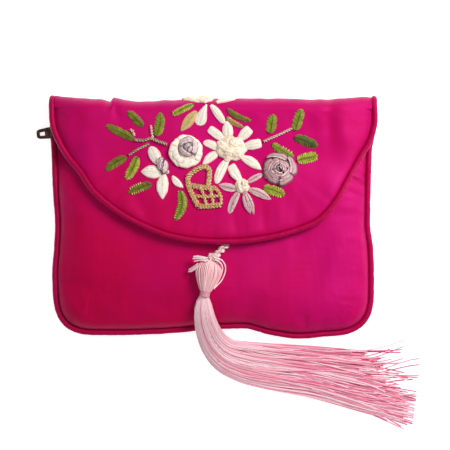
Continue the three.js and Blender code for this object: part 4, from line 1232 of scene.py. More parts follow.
# %% A tree that lays small pieces on points
def build_laid(tree, given):
    jitter = lay(tree, "FunctionNodeRandomValue", {"Seed": given["Seed"]}, data_type="FLOAT_VECTOR")
    jitter.inputs[0].default_value, jitter.inputs[1].default_value = (-1, -1, -1), (1, 1, 1)
    sway = scaled(tree, jitter.outputs[0], given["Turn Spread"])
    turn = first_of(tree, "ShaderNodeVectorMath", {0: number(tree, "turn", "FLOAT_VECTOR"), 1: sway}, operation="ADD")
    turn = first_of(tree, "FunctionNodeEulerToRotation", {0: turn})
    grow_ = lay(tree, "FunctionNodeRandomValue", {"Seed": given["Seed"]}, data_type="FLOAT")
    for key, side in ((2, "SUBTRACT"), (3, "ADD")):
        tree.links.new(sum_up(tree, side, 1.0, given["Size Spread"]), grow_.inputs[key])
    size = scaled(tree, number(tree, "size", "FLOAT_VECTOR"), grow_.outputs[1])
    unit = lay(tree, "GeometryNodeObjectInfo", {"Object": given["Stitch"]}).outputs["Geometry"]
    laid = {"Points": given["Geometry"], "Instance": unit, "Rotation": turn, "Scale": size}
    return first_of(tree, "GeometryNodeInstanceOnPoints", laid)


laid_tree = geometry_tree(
    "laid stitches", {"Stitch": "", "Size Spread": 0.08, "Turn Spread": 0.05, "Seed": 1, "Finish": None}, build_laid
)


def small_piece(name, lengthways, around, shape):
    """A small closed piece about 1 long to be laid many times; shape gives x and radius at a share of its length."""
    t = np.linspace(0, 1, lengthways)[:, None]
    a = 2 * math.pi * np.arange(around)[None] / around
    x, r = shape(t)
    r = np.where((t > 0) & (t < 1), r, 0)
    points = np.stack([x + 0 * a, r * np.cos(a) / 2, r * np.sin(a) / 2], -1) / MM
    return mesh_of(name, points, grid_faces(lengthways, around, closed=True), values={"along": t + 0 * a})


def scatter(name, spots, turns, sizes, unit, finish_, tint=None, **inputs):
    """Lays the unit on points given in millimetres; turns are Euler angles, sizes in millimetres."""
    mesh = new_mesh(name, spots)
    note(mesh, "turn", turns, vector=True)
    note(mesh, "size", np.asarray(sizes) * MM, vector=True)
    note(mesh, "tint", np.linspace(0, 1, len(spots)) if tint is None else tint)
    made = grow(put(name, mesh), laid_tree, Stitch=unit, Finish=finish_, **inputs)
    made.data.polygons.foreach_set("use_smooth", np.ones(len(made.data.polygons), bool))
    return made


def facing(way, out):
    """Euler angles that turn x to way and z towards out."""
    x = Vector(way).normalized()
    y = Vector(out).cross(x).normalized()
    z = x.cross(y)
    return tuple(Matrix((x, y, z)).transposed().to_euler())


# %% Coil and slider
tooth = small_piece("tooth", 7, 8, lambda t: (t - 0.5, 0.55 * np.sin(math.pi * t) ** 0.3))
xs = np.arange(slider_left + 7.8, half_width - 8.4, 1.15)
slope = np.gradient(zip_height(xs), xs)
spots = np.column_stack([xs, np.full_like(xs, zip_y), zip_height(xs)])
turns = [facing((0.35, 1, 0), (-m, 0, 1)) for m in slope]
sizes = np.tile([2.7, 1.5, 1.9], (len(xs), 1))
coil = scatter("coil", spots, turns, sizes, tooth, nylon, Size_Spread=0.02, Turn_Spread=0.02)
wear(coil, "zip_coil", slot="zip_tape")
bpy.data.objects.remove(tooth)
print("coil:", len(xs), "teeth")


def cast(node, name, body, bevel):
    """A copy of a metal solid with its edges rounded."""
    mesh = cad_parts[node].data.copy()
    shape = bmesh.new()
    shape.from_mesh(mesh)
    bmesh.ops.remove_doubles(shape, verts=shape.verts, dist=2e-6)
    bmesh.ops.dissolve_limit(shape, angle_limit=0.03, verts=shape.verts, edges=shape.edges)
    shape.to_mesh(mesh)
    shape.free()
    mesh.materials.clear()
    mesh.materials.append(aged_brass)
    piece = put(name, mesh)
    rounded = piece.modifiers.new("rounded", "BEVEL")
    rounded.width, rounded.segments, rounded.limit_method, rounded.angle_limit = bevel * MM, 2, "ANGLE", 0.6
    rounded.harden_normals = False
    return wear(piece, node, slot="aged_brass", body=body)


cast("zip_slider", "slider", "purse", 0.16)
cast("zip_pull", "pull_tag", "pull", 0.22)

# %% [markdown]
# ## Ribbon embroidery
# The flowers are worked in silk ribbon: each petal or leaf is one ribbon stitch, pinched where it goes into the satin
# and broad in between. A patch helper lays a grid along a line on the flap. Its width and its height above the satin
# come from small tables, and its border is tucked under the satin so that nothing floats.

# %% Ribbon patches
tucked_under = 0.7  # how deep a ribbon's border goes into the satin
PINCHED = [(0, 0.3), (0.15, 0.68), (0.4, 1), (0.62, 0.95), (0.82, 0.6), (0.94, 0.28), (1, 0.06)]
DROP = [(0, 0.12), (0.25, 0.45), (0.5, 0.8), (0.72, 1), (0.88, 0.86), (1, 0.3)]
BLUNT = [(0, 0.42), (0.25, 0.75), (0.55, 1), (0.85, 0.95), (0.96, 0.8), (1, 0.6)]
SLIM = [(0, 0.4), (0.2, 0.8), (0.5, 1), (0.8, 0.85), (0.95, 0.5), (1, 0.2)]


def patch_line(row):
    right, down, to_right, to_down, width, bend = row[:6]
    start, end = np.array(place(right, down)), np.array(place(to_right, to_down))
    way = (end - start) / np.linalg.norm(end - start)
    left = np.array([-way[1], way[0]])
    centre = lambda t: start + (end - start) * t[..., None] + left * (bend * stitch * np.sin(math.pi * t))[..., None]
    return centre, left, width * stitch / 2


def patch(row, width, height, steps=34, across=15, tint=0.0, twist_end=0.0):
    """A ribbon stitch on the flap: points, faces and the values along, edge and tint."""
    centre, left, half = patch_line(row)
    t = np.concatenate([[0], np.linspace(0, 1, steps), [1]])[:, None]
    s = np.concatenate([[-1], np.linspace(-1, 1, across), [1]])[None]
    t, s = np.broadcast_arrays(t, s)
    c = centre(t)
    off = half * read(width, t) * s * (1 - 0.35 * twist_end * smooth(0.75, 1, t))
    h = height(t, s)
    h = np.where(rim_of(*t.shape), -tucked_under, h)
    points, _ = raised(c[..., 0] + left[0] * off, c[..., 1] + left[1] * off, h)
    return points, grid_faces(*t.shape), {"along": t, "edge": np.abs(s), "side": s, "tint": tint + 0 * t}


def sew(name, patches, finish_):
    """Patches sewn into one mesh, each closed underneath."""
    start, faces, points = 0, [], []
    keys = {k for _, _, marks_ in patches for k in marks_}
    values = {k: [] for k in keys}
    for p, f, marks_ in patches:
        points.append(p.reshape(-1, 3))
        faces.append(f + start)
        start += len(points[-1])
        for k in keys:
            values[k].append(np.broadcast_to(marks_.get(k, 0.0), p.shape[:-1]).ravel())
    values = {k: np.concatenate(v) for k, v in values.items()}
    piece = mesh_of(name, np.concatenate(points), np.concatenate(faces), values=values, finish=finish_)
    shape = bmesh.new()
    shape.from_mesh(piece.data)
    bmesh.ops.remove_doubles(shape, verts=shape.verts, dist=1e-6)
    bmesh.ops.holes_fill(shape, edges=[e for e in shape.edges if e.is_boundary], sides=0)
    shape.to_mesh(piece.data)
    shape.free()
    return piece


# %% [markdown]
# ### Leaves
# A leaf is worked in fishbone stitch: slanting stitches run from a middle line out to both edges, which gives it a
# saw-toothed rim and a herringbone middle. Under them lies a low ridge of darker green, painted shade that shows in the
# gaps between them. Some leaves have pale loops along the rim. The stitches and loops are laid by the node tree above.


# %% Leaf finishes
def leaf_finish(name, dark, light, rim, rim_at=0.86, deep="2A2E06"):
    material, tree, shader, spot = finish(name, Roughness=0.55, Specular_IOR_Level=0.3, Sheen_Weight=0.15)
    tone = use(tree, dye, Place=spot, Patches=420.0)
    mixed = plus(tree, times(tree, tone["Mask"], 0.55), times(tree, value_of(tree, "tint"), 0.45))
    body = blend(tree, mixed, dark, light)
    body = blend(tree, span(tree, value_of(tree, "along"), 0.3, 0.04, 0.0, 0.75), body, deep)
    tip = span(tree, value_of(tree, "along"), rim_at - 0.1, rim_at + 0.06)
    colour = blend(tree, times(tree, tip, 0.8), body, rim)
    paint(tree, shader, colour)
    lines = use(tree, grain, Place=spot, Across=value_of(tree, "along"), Lines=5.0)
    bump(tree, shader, lines["Height"], 0.35, 0.00012)
    return material


LEAF_GREENS = {
    "olive": leaf_finish("olive leaf ribbon", "504E08", "8C8C18", "A8843C"),
    "green": leaf_finish("green leaf ribbon", "5C680C", "98A220", "B89C4C"),
    "lime": leaf_finish("lime leaf ribbon", "6C780A", "AEB224", "D2C458"),
    "dark": leaf_finish("dark leaf ribbon", "323C08", "62701A", "8E883C"),
    "straw": leaf_finish("straw leaf ribbon", "946E34", "CCA468", "DCB684"),
}
pale_loop, tree, shader, spot = finish("pale loop thread", Roughness=0.5, Specular_IOR_Level=0.35)
paint(tree, shader, blend(tree, value_of(tree, "tint"), "B4B848", "DCDA8C"))
# The ground shows only in the gaps between the stitches, so its darker green is painted shade.
shaded_leaf_ground, tree, shader, spot = finish("leaf ground", Roughness=0.8)
tone = use(tree, dye, Place=spot, Patches=600.0)
paint(tree, shader, blend(tree, tone["Mask"], "38400E", "5A661C"))

# %% Leaf table
# name, base and tip in stitches right and down, width, bend, green, rows of stitches, loops along the rim
LEAVES = [
    ("leaf_left_1", -78, 43, -106, 29, 8, 0, "olive", 12, 0),
    ("leaf_left_2", -69.5, 30, -84.5, 15, 8, 0, "olive", 9, 0),
    ("leaf_left_3", -56, 40, -52, 16.5, 9.5, 1, "green", 10, 0),
    ("leaf_left_5", -86, 60.5, -107, 73.5, 8.5, 1, "olive", 10, 0),
    ("leaf_left_6", -75, 60, -86, 83, 9.5, -1, "lime", 10, 11),
    ("leaf_left_7", -60.5, 87.5, -84, 96, 8, 1, "olive", 10, 6),
    ("leaf_left_8", -32.5, 93.5, -37, 123, 9.5, -4.2, "green", 12, 12),
    ("leaf_left_9", -19.5, 8.5, -40.5, 18.5, 7, 0, "lime", 11, 11),
    ("leaf_right_10", 14, 13, 37.5, 24.5, 5.5, 2, "olive", 11, 0),
    ("leaf_right_11", 13.5, 21, 30, 31, 5, 1, "straw", 8, 0),
    ("leaf_right_1", 56.5, 37, 60, 18, 10, 0, "green", 10, 0),
    ("leaf_right_2", 81.5, 34, 88, 13, 10, 0, "green", 10, 0),
    ("leaf_right_3", 81, 40.5, 104, 49.5, 10, 0, "dark", 11, 0),
    ("leaf_right_4", 59, 47.5, 80, 60, 8, 1, "green", 9, 4),
    ("leaf_right_5", 83.5, 64, 104, 59, 10, 0, "lime", 10, 10),
    ("leaf_right_6", 50, 90.5, 71, 98, 9.5, 0, "lime", 10, 5),
]
LEAF_WIDTH = [(0, 0.2), (0.08, 0.6), (0.26, 0.93), (0.5, 1), (0.75, 0.95), (0.91, 0.7), (1, 0.22)]
stitch_unit = small_piece("stitch", 8, 8, lambda t: (t, np.sin(math.pi * np.clip(t * 0.94 + 0.04, 0, 1)) ** 0.42))
bead_unit = small_piece("bead", 6, 6, lambda t: (t - 0.5, np.sin(math.pi * np.clip(t, 0.02, 0.98)) ** 0.6))


# %% Working the leaves
fineness = 1.6  # rows of stitches laid for each row in the table


def leaf(name, right, down, to_right, to_down, width, bend, green, count, loops):
    row = (right, down, to_right, to_down, width, bend)
    random = np.random.default_rng(len(name) * 7 + int(abs(to_right) * 3))
    ridge = lambda t, s: 0.05 + 0.5 * np.minimum(1, read(LEAF_WIDTH, t)) * (1 - np.abs(s) ** 2.2)
    ground = sew(name + "_ground", [patch(row, [(a, 0.93 * b) for a, b in LEAF_WIDTH], ridge, 20, 9)], shaded_leaf_ground)
    count = round(count * fineness)
    centre, left, half = patch_line(row)
    spots, turns, sizes, tint = [], [], [], []
    step = 1.0 / count
    length = np.hypot(*(centre(np.array([1.0]))[0] - centre(np.array([0.0]))[0]))
    for k in range(count + 1):
        for side in (-1, 1):
            t0 = np.clip(k * step * 0.93 - 0.02 + 0.012 * side, 0, 0.9)
            t1 = min(1.0, t0 + 0.16 + 0.02 * random.uniform(-1, 1))
            wide = half * float(read(LEAF_WIDTH, t1)) * random.uniform(0.96, 1.05)
            ends = []
            for t, off, h in ((t0, -0.06 * side * half, 0.7), (t1, side * wide, 0.12)):
                c = centre(np.array([t]))[0] + left * off
                p, out = raised(np.array(c[0]), np.array(c[1]), np.array(h))
                ends.append(p)
            way = ends[1] - ends[0]
            spots.append(ends[0])
            turns.append(facing(way, out))
            sizes.append([np.linalg.norm(way) * 1.03, 1.25 * length * step, 0.55])
            tint.append(random.uniform(0, 1))
    parts = [ground, scatter(name, spots, turns, sizes, stitch_unit, LEAF_GREENS[green], tint, Seed=len(name))]
    if loops:
        spots, turns, sizes, tint = [], [], [], []
        for k in range(loops):
            for side in (-1, 1):
                t = (k + 0.7) / (loops + 0.6)
                if loops < 8:
                    t = 0.35 + 0.6 * t
                off = side * half * float(read(LEAF_WIDTH, t)) * (0.62 if loops > 10 else 0.86)
                c = centre(np.array([t]))[0] + left * off
                p, out = raised(np.array(c[0]), np.array(c[1]), np.array(0.42))
                q, _ = raised(np.array(c[0] + left[0] * side), np.array(c[1] + left[1] * side), np.array(0.42))
                spots.append(p)
                turns.append(facing(q - p, out))
                sizes.append([1.35, 0.5, 0.55])
                tint.append(random.uniform(0, 1))
        parts.append(scatter(name + "_loops", spots, turns, sizes, bead_unit, pale_loop, tint, Seed=3))
    made = joined(name + "_worked", [parts[1], parts[0], *parts[2:]])
    return wear(made, name, slot="leaf_ribbon")


for row in LEAVES:
    made = leaf(*row)
print("leaves:", len(LEAVES), "with", len(made.data.polygons), "faces in the last")

# %% [markdown]
# ### Petals
# White and mauve petals are single ribbon stitches. The ribbon is thin silk with fine lines along it, a little mint in
# the middle and a blush at the rim, and its edges stand up slightly because the ribbon is folded where it enters.

# %% Ribbon finishes
def ribbon_finish(name, middle, body, rim, line, lines=7.0, spots=None):
    material, tree, shader, spot = finish(
        name, Roughness=0.5, Specular_IOR_Level=0.3, Sheen_Weight=0.25, Sheen_Roughness=0.4
    )
    tone = use(tree, dye, Place=spot, Patches=260.0)
    edge = value_of(tree, "edge")
    colour = blend(tree, span(tree, edge, -0.1, 0.8), middle, body)
    # The rim colour is a blush on the petals; on the roses' folds the edge value peaks at the rolled lip, so there it
    # is a painted highlight.
    blush = times(tree, span(tree, edge, 0.6, 1.0), span(tree, tone["Mask"], 0, 1, 0.25, 0.9))
    colour = blend(tree, blush, colour, rim)
    if spots:
        colour = blend(tree, times(tree, span(tree, tone["Slub"], 0.72, 0.95), 0.8), colour, spots)
    fine = use(tree, grain, Place=spot, Across=value_of(tree, "side"), Lines=lines)
    colour = blend(tree, times(tree, span(tree, fine["Mask"], 0.5, 0.0), 0.75), colour, line)
    # Painted shade: creases, slits and crumples take the dark line colour.
    colour = blend(tree, value_of(tree, "crease"), colour, line)
    paint(tree, shader, colour)
    bump(tree, shader, fine["Height"], 0.4, 0.00018)
    return material


white_ribbon = ribbon_finish("white ribbon", "EAEAD6", "FCEDE2", "F4B6B0", "C8AC9C", 7.0)
mauve_ribbon = ribbon_finish("mauve ribbon", "C89CA0", "DAB2B4", "FCEEEC", "42202C", 3.0)
pale_mauve = ribbon_finish("pale mauve ribbon", "E2C8CA", "ECD6D6", "FCF4F0", "6E4654", 4.0)
cream_ribbon = ribbon_finish("cream ribbon", "FFF8E8", "FFF6EA", "FDE8DA", "E4BCA8", 4.0)
peach_cream = ribbon_finish("peach and cream ribbon", "FFF6DE", "FFF2DE", "FFECD6", "D8B088", 4.0, spots="F4A080")
tan_ribbon = ribbon_finish("tan ribbon", "B0B46C", "E4B080", "E48A70", "8E6038", 6.0)


# %% Petals
def petal(row, width=PINCHED, crown=1.0, cup=0.25, crease=0.22, tint=0.0, seed=1, fold=0.0):
    random = np.random.default_rng(seed)
    a, b, c = random.uniform(0, 6, 3)

    def height(t, s):
        body = 0.12 + crown * np.sin(math.pi * np.clip(0.1 + 0.88 * t, 0, 1)) ** 0.7 * (1 - 0.75 * np.abs(s) ** 2.4)
        rim = cup * np.exp(-(((np.abs(s) - 0.9) / 0.14) ** 2)) * np.sin(math.pi * t)
        off = s - 0.12 * np.sin(3 * t + a)
        middle = -crease * np.exp(-((off / 0.13) ** 2)) * smooth(0.02, 0.3, t) * (1 - 0.6 * t)
        lines = 0.05 * np.sin(9 * s + a + 2 * t) + 0.05 * np.sin(6 * t + b + 4 * s)
        over = fold * smooth(0.1, 0.9, s * np.sin(2.6 * t + c))
        return body + rim + middle + lines * np.sin(math.pi * t) + over

    points, faces, marks_ = patch(row, width, height, tint=tint)
    s, t = marks_["side"], marks_["along"]
    # Painted shade along the petal's middle crease.
    marks_["crease"] = 0.55 * np.exp(-(((s - 0.12 * np.sin(3 * t + a)) / 0.1) ** 2)) * smooth(0.0, 0.25, t) * (1 - t)
    return points, faces, marks_


# %% [markdown]
# ### Knots, folds and roses
# The flower hearts are crumpled ribbon, and the two big roses are ribbon folded over and over round a centre. A rose
# is built from crescents: each has a rolled inner edge that stands up and catches the light, and slopes away outwards
# under the next one, so a dark slit is left between them as between real folds.


# %% Knots and folds
def knot(right, down, wide, tall, height, seed, crumple=0.5, size=3.2, lobes=7, turn=0.0):
    """A crumpled dome of ribbon."""
    random = np.random.default_rng(seed)
    rings, sides = 22, 56
    r, a = np.meshgrid(np.linspace(0, 1, rings), 2 * math.pi * np.arange(sides) / sides, indexing="ij")
    cx, cu = place(right, down)
    ragged = 1 + 0.07 * np.cos(lobes * a + random.uniform(0, 6)) + 0.05 * np.cos((lobes + 4) * a + random.uniform(0, 6))
    q = math.radians(turn)
    px, py = r * ragged * wide * np.cos(a), r * ragged * tall * np.sin(a)
    x, u = px * math.cos(q) - py * math.sin(q), px * math.sin(q) + py * math.cos(q)
    swell = ripple(x, u, size, seed + 1, 0, 1, 18)
    ridges = 1 - 2 * np.abs(np.clip(ripple(x, u, size * 0.8, seed + 2, 30, 1.3, 18), -1, 1))
    h = height * rise(1.05 - r) + crumple * (0.5 * swell + 0.5 * ridges) * smooth(1.0, 0.7, r)
    h[-1] = -tucked_under
    points, _ = raised(cx + x, cu + u, h)
    faces = grid_faces(rings, sides, closed=True)
    # Painted shade in the hollows of the crumple.
    marks_ = {"along": r, "edge": r, "side": np.sin(3 * a) * r, "crease": np.clip(-ridges - 0.35, 0, 1) * 0.6}
    return points, faces, marks_


def crescent(
    right, down, r_in, r_out, start, sweep, peak, low, seed, spiral=0.0, square=0.0, tilt=0.6, flat=1.0, pleats=0.0
):
    """A fold of ribbon round a centre: rolled inner edge, sloping outwards, one end over its neighbour.

    Radii are in stitches, angles in degrees and heights in millimetres.
    """
    random = np.random.default_rng(seed)
    k = np.linspace(0, 1, 40)[:, None]
    w = np.concatenate([[0], np.linspace(0, 1, 17), [1]])[None]
    a = math.radians(start) + math.radians(sweep) * k
    a, w = np.broadcast_arrays(a, w)
    kk = np.broadcast_to(k, a.shape)
    taper = rise(np.minimum(kk, 1 - kk) / 0.3)
    inner = r_in * (1 - spiral * (kk - 0.5)) * (1 - square * 0.3 * np.cos(a * 2 - math.radians(2 * start + sweep)) ** 2)
    outer_ = r_out * (1 + 0.02 * np.sin(7 * a + random.uniform(0, 6)) + 0.01 * np.sin(13 * a + random.uniform(0, 6)))
    middle = (inner + outer_) / 2
    r = mix(mix(middle, inner, 0.35 + 0.65 * taper), mix(middle, outer_, 0.35 + 0.65 * taper), w)
    section = read([(0, 0.3), (0.05, 0.75), (0.14, 1), (0.35, 0.96), (0.75, 0.62), (1, 0.1)], w)
    wrinkle = (0.05 if pleats else 0.12) * np.sin(random.uniform(9, 14) * a + 3 * w + random.uniform(0, 6)) * w
    wrinkle = wrinkle + 0.06 * np.sin(pleats * a + 2 * np.sin(a)) * smooth(0.1, 0.6, w) * (pleats > 0)
    h = mix(low, peak, section) * (0.8 + 0.2 * taper) + wrinkle + tilt * (kk - 0.5) * smooth(0, 0.12, kk)
    h = np.where(rim_of(*a.shape), np.minimum(h - 1.3, np.where(w > 0.99, -tucked_under, 99)), h)
    cx, cu = place(right, down)
    points, _ = raised(cx + r * stitch * np.cos(a), cu + r * stitch * flat * np.sin(a), h)
    # Painted shade in the slits: at the inner edge, at the outer edge under the next fold and at both ends.
    slit = np.exp(-((w / 0.1) ** 2)) + 0.75 * smooth(0.8, 0.97, w)
    slit = slit + 0.9 * np.exp(-(((1 - kk) / 0.06) ** 2)) + 0.4 * np.exp(-((kk / 0.05) ** 2))
    # The edge value peaks on the rolled lip, where the ribbon finish paints a highlight.
    marks_ = {
        "along": kk,
        "edge": np.exp(-(((w - 0.2) / 0.12) ** 2)),
        "side": a * pleats / 4 if pleats else w * 2 - 1,
        "crease": np.clip(slit, 0, 1) * (0.6 if pleats else 1),
    }
    return points, grid_faces(*a.shape)[:, ::-1], marks_


# %% Left flower
bud = [
    crescent(-49.5, 69, 1.2, 6.2, 130, 150, 2.9, 1.0, 5, flat=1.5),
    crescent(-50.0, 70, 1.0, 6.0, -60, 150, 3.1, 1.0, 6, flat=1.5),
    petal((-56.5, 61, -44, 77, 6.5, 1), SLIM, 2.3, 0.5, 0.9, seed=4),
]
BROAD = [(0, 0.42), (0.25, 0.85), (0.5, 1), (0.75, 0.86), (0.92, 0.5), (1, 0.16)]
petals = [
    petal((-53.5, 67.5, -62.3, 50, 12, 0), BROAD, 1.2, seed=1),
    petal((-51, 77.6, -71.5, 75, 13, 1), PINCHED, 1.2, seed=2),
    petal((-48.5, 77.5, -50, 102.5, 12, 1), PINCHED, 1.2, seed=3),
]
flower = joined("flower_left_worked", [sew("petals_left", petals, white_ribbon), sew("bud_left", bud, pale_mauve)])
wear(flower, "flower_left", slot="white_ribbon")
loose = sew("petal_small_worked", [petal((-40.5, 79.5, -29.5, 91, 6.8, 1), PINCHED, 0.9, seed=9)], white_ribbon)
wear(loose, "petal_small", slot="white_ribbon")
tan_petal = petal((-16.5, 15, -32, 34.8, 10.5, 0), PINCHED, 1.0, 0.15, 0.15, seed=10)
tan_leaf = sew("leaf_tan_worked", [tan_petal], tan_ribbon)
wear(tan_leaf, "leaf_tan", slot="tan_ribbon")

# %% Daisy
DAISY = [
    ((13, 45, -4, 32, 9, 0), BLUNT, 1.0),
    ((15.5, 43.5, 13.5, 24.5, 11, 0), PINCHED, 1.2),
    ((25, 44, 37, 32, 10.5, 0), BLUNT, 1.1),
    ((29, 50.5, 48, 46.6, 10, 0), BLUNT, 1.0),
    ((27.5, 60, 48, 73, 9.5, -1), PINCHED, 1.0),
    ((7.5, 53.5, -9.5, 45.5, 8.5, 1), SLIM, 0.9),
    ((6.5, 55, -10.5, 68.5, 8.5, 1), PINCHED, 0.9),
    ((14.5, 62.5, 3, 87, 9.5, 1), SLIM, 1.0),
]
petals = [petal(row, width, crown, seed=20 + i) for i, (row, width, crown) in enumerate(DAISY)]
heart = [
    knot(18, 52, 6.9, 6.1, 2.5, 41, 0.2, 5.0, 7),
    knot(11, 50.5, 3.4, 3.0, 2.6, 43, 0.2, 4.0, 5),
    knot(23.5, 56, 3.9, 3.2, 3.0, 44, 0.2, 4.0, 6),
    knot(21, 47, 3.8, 3.0, 3.0, 45, 0.2, 4.0, 5),
    knot(15.5, 55, 3.4, 3.0, 3.2, 46, 0.2, 4.0, 6),
]
daisy = joined("daisy", [sew("daisy_petals", petals, white_ribbon), sew("daisy_heart", heart, peach_cream)])
wear(daisy, "flower_big", slot="white_ribbon")

# %% Small flower
whites = [petal((28, 85, 17.5, 68.5, 10, -1), BLUNT, 1.2, 0.3, 0.3, seed=31, fold=0.35)]
mauves = [
    petal((33.5, 86, 49, 77.5, 5.6, 0), SLIM, 1.2, 0.5, 0.5, seed=32),
    petal((24.5, 93, 5.5, 88.5, 8, 0), PINCHED, 1.0, 0.35, 0.3, seed=33),
    petal((26, 94.5, 16, 116.5, 7.5, 1), SLIM, 1.0, 0.3, 0.2, seed=34),
    petal((31, 94.5, 37, 117, 6.2, 1), PINCHED, 1.1, 0.5, 0.6, seed=35),
    petal((32, 95, 40.5, 118, 5.2, -1), PINCHED, 1.1, 0.5, 0.6, seed=36),
    petal((35, 92.5, 57.5, 103, 8, -1), PINCHED, 1.2, 0.4, 0.4, seed=37),
]
heart = [knot(29, 89.5, 3.4, 3.3, 2.3, 51, 0.3, 3.6, 4, 20), knot(31, 88.0, 2.1, 1.9, 2.9, 52, 0.3, 2.6, 4)]
sewn = (
    ("small_petals", whites, white_ribbon), ("small_mauves", mauves, mauve_ribbon), ("small_heart", heart, peach_cream)
)
small = joined("small_flower", [sew(*parts) for parts in sewn])
wear(small, "flower_small", slot="white_ribbon")

# %% Flower on the fold
petals = [
    petal((-6.5, 8.5, -14.5, 29, 12, 0), DROP, 1.0, seed=61),
    petal((-2, 9, 11.5, 27, 7.8, 0), SLIM, 0.9, seed=62),
    petal((3.5, 6.2, 21.5, 0.6, 8.5, 0), BLUNT, 0.9, seed=63),
    petal((-12, -1, -19, -9, 9, 0), BLUNT, 0.9, seed=64),
    petal((-5, -1, 3, -9, 9, 0), BLUNT, 0.9, seed=65),
]
heart = [
    knot(-15.5, 1.5, 7.2, 3.2, 1.5, 71, 0.25, 4.0, 7, 8),
    knot(-9, 3.5, 3.9, 2.4, 1.9, 72, 0.3, 3.4, 5),
    knot(-21, 0.5, 3.6, 2.2, 1.7, 73, 0.3, 3.4, 5),
]
fold_flower = joined("fold_flower", [sew("fold_petals", petals, white_ribbon), sew("fold_heart", heart, peach_cream)])
wear(fold_flower, "flower_fold", slot="white_ribbon")

# %% Cream rose
at, heart_at = (-26.5, 55), (-24.5, 51)
wrap = [knot(*at, 6.8, 6.8, 1.3, 80, 0.1, 4.0, 5)]
OUTER_FOLDS = [(10, 125, 9.5, 16.6), (105, 120, 9, 17.3), (200, 110, 10, 16.6), (285, 120, 10, 16.4)]
for i, (turn, sweep, r_in, r_out) in enumerate(OUTER_FOLDS):
    wrap.append(crescent(*at, r_in, r_out, turn, sweep, 2.0 + 0.15 * (i % 2), 1.3, 81 + i, 0.1, tilt=0.7, pleats=4.0))
wrap.append(crescent(*at, 8.0, 14.0, 30, 170, 2.5, 1.8, 88, 0.2, tilt=0.6, pleats=3.0))
wrap.append(crescent(*at, 9.0, 14.5, 210, 140, 2.4, 1.8, 92, 0.2, tilt=0.6, pleats=3.0))
inside = [
    knot(*heart_at, 3.6, 3.3, 2.3, 84, 0.2, 3.0, 4),
    crescent(*heart_at, 5.2, 10.8, 190, 120, 3.6, 1.8, 85, 0.2, 0.8, tilt=0.9),
    crescent(*heart_at, 5.2, 10.4, 300, 120, 3.7, 1.8, 86, 0.2, 0.8, tilt=0.9),
    crescent(*heart_at, 5.0, 10.0, 60, 130, 3.5, 1.6, 87, 0.2, 0.8, tilt=0.9),
    crescent(heart_at[0] + 0.6, heart_at[1] + 0.4, 0.6, 5.4, 150, 150, 3.9, 2.2, 89, 0.3, 0.6, tilt=0.9),
    crescent(heart_at[0] + 0.4, heart_at[1] + 0.6, 0.7, 5.2, -40, 150, 4.0, 2.2, 90, 0.3, 0.6, tilt=0.9),
]
rose = joined("cream_rose", [sew("cream_wrap", wrap, cream_ribbon), sew("cream_inside", inside, pale_mauve)])
wear(rose, "rose_cream", slot="white_ribbon")

# %% Mauve rose
at = (65.4, 73)
rings = [knot(*at, 6.0, 6.0, 1.4, 90, 0.2, 3.0, 5)]
RINGS = [  # folds, inner and outer radius, peak and low height, sweep, first turn, how far folds stand aside
    (5, 10.6, 17.6, 2.5, 0.4, 92, -70, 1.5),
    (4, 6.4, 12.6, 3.3, 1.4, 112, -30, 1.4),
    (3, 2.7, 8.0, 3.8, 2.0, 145, 20, 0.9),
    (2, 0.4, 3.8, 4.1, 2.6, 185, 60, 0.3),
]
for ring, (count, r_in, r_out, peak, low, sweep, first_turn, aside) in enumerate(RINGS):
    square = 0.6 if ring else 0.3
    for i in range(count):
        turn = first_turn + 360 * i / count + (9, -7, 4, 0, 6)[i]
        x, y = at[0] + aside * math.cos(2.4 * i + ring), at[1] + aside * math.sin(2.4 * i + ring)
        wide = r_in * (1 + 0.08 * ((i * 2 + ring) % 3 - 1))
        seed = 91 + 7 * ring + i
        rings.append(crescent(x, y, wide, r_out - 0.7, turn, sweep, peak, low, seed, 0.5, square, tilt=1.5))
rose = sew("mauve_rose", rings, mauve_ribbon)
wear(rose, "rose_mauve", slot="mauve_ribbon")
print("roses:", len(rose.data.polygons), "faces in the mauve one")

# %% [markdown]
# ### Stems and the gold basket
# Stems are twisted from green and cream silk. The basket is gold cord laid on the satin and caught down with small
# stitches. Both are lines on the flap swept by the twisted cord tree.

# %% Thread finishes
def thread_finish(name, one, other, low, turns=260.0, **sockets):
    sockets = {"Roughness": 0.5, "Specular_IOR_Level": 0.35, "Sheen_Weight": 0.2, **sockets}
    material, tree, shader, spot = finish(name, **sockets)
    tone = use(tree, dye, Place=spot, Patches=330.0)
    ply = use(tree, twist, Along=value_of(tree, "along"), Around=value_of(tree, "around"), Turns=turns)["Height"]
    colour = blend(tree, tone["Mask"], one, other)
    # Painted shade in the grooves between the plies.
    colour = blend(tree, span(tree, ply, 0.35, 0.0), colour, low)
    paint(tree, shader, colour)
    bump(tree, shader, ply, 0.5, 0.00015)
    return material


gold_cord = thread_finish("gold cord", "ECBC70", "FFE4B4", "A0642C", 240.0, Roughness=0.42, Metallic=0.15)
stem_silk = thread_finish("stem silk", "A0A068", "E4CEB0", "70683C")
blush_stem = thread_finish("blush stem silk", "ECCCB8", "F6E0D0", "B47C6C")


# %% Stems
laid_steps = 70


def laid_line(way, count, lift):
    """A line on the flap through the table's places, lifted above the satin."""
    x, u = place(*np.array(way, float).T)
    line = curve_through(np.column_stack([x, u]), count)
    return raised(line[:, 0], line[:, 1], np.full(count, lift))[0]


def laid_cord(name, ways, ply, pitch, finish_, lift=None, thick=None):
    lines = [laid_line(w, laid_steps, ply * 1.5 if lift is None else lift) for w in ways]
    return cords_of(name, lines, ply, pitch, 8, finish_, thick)


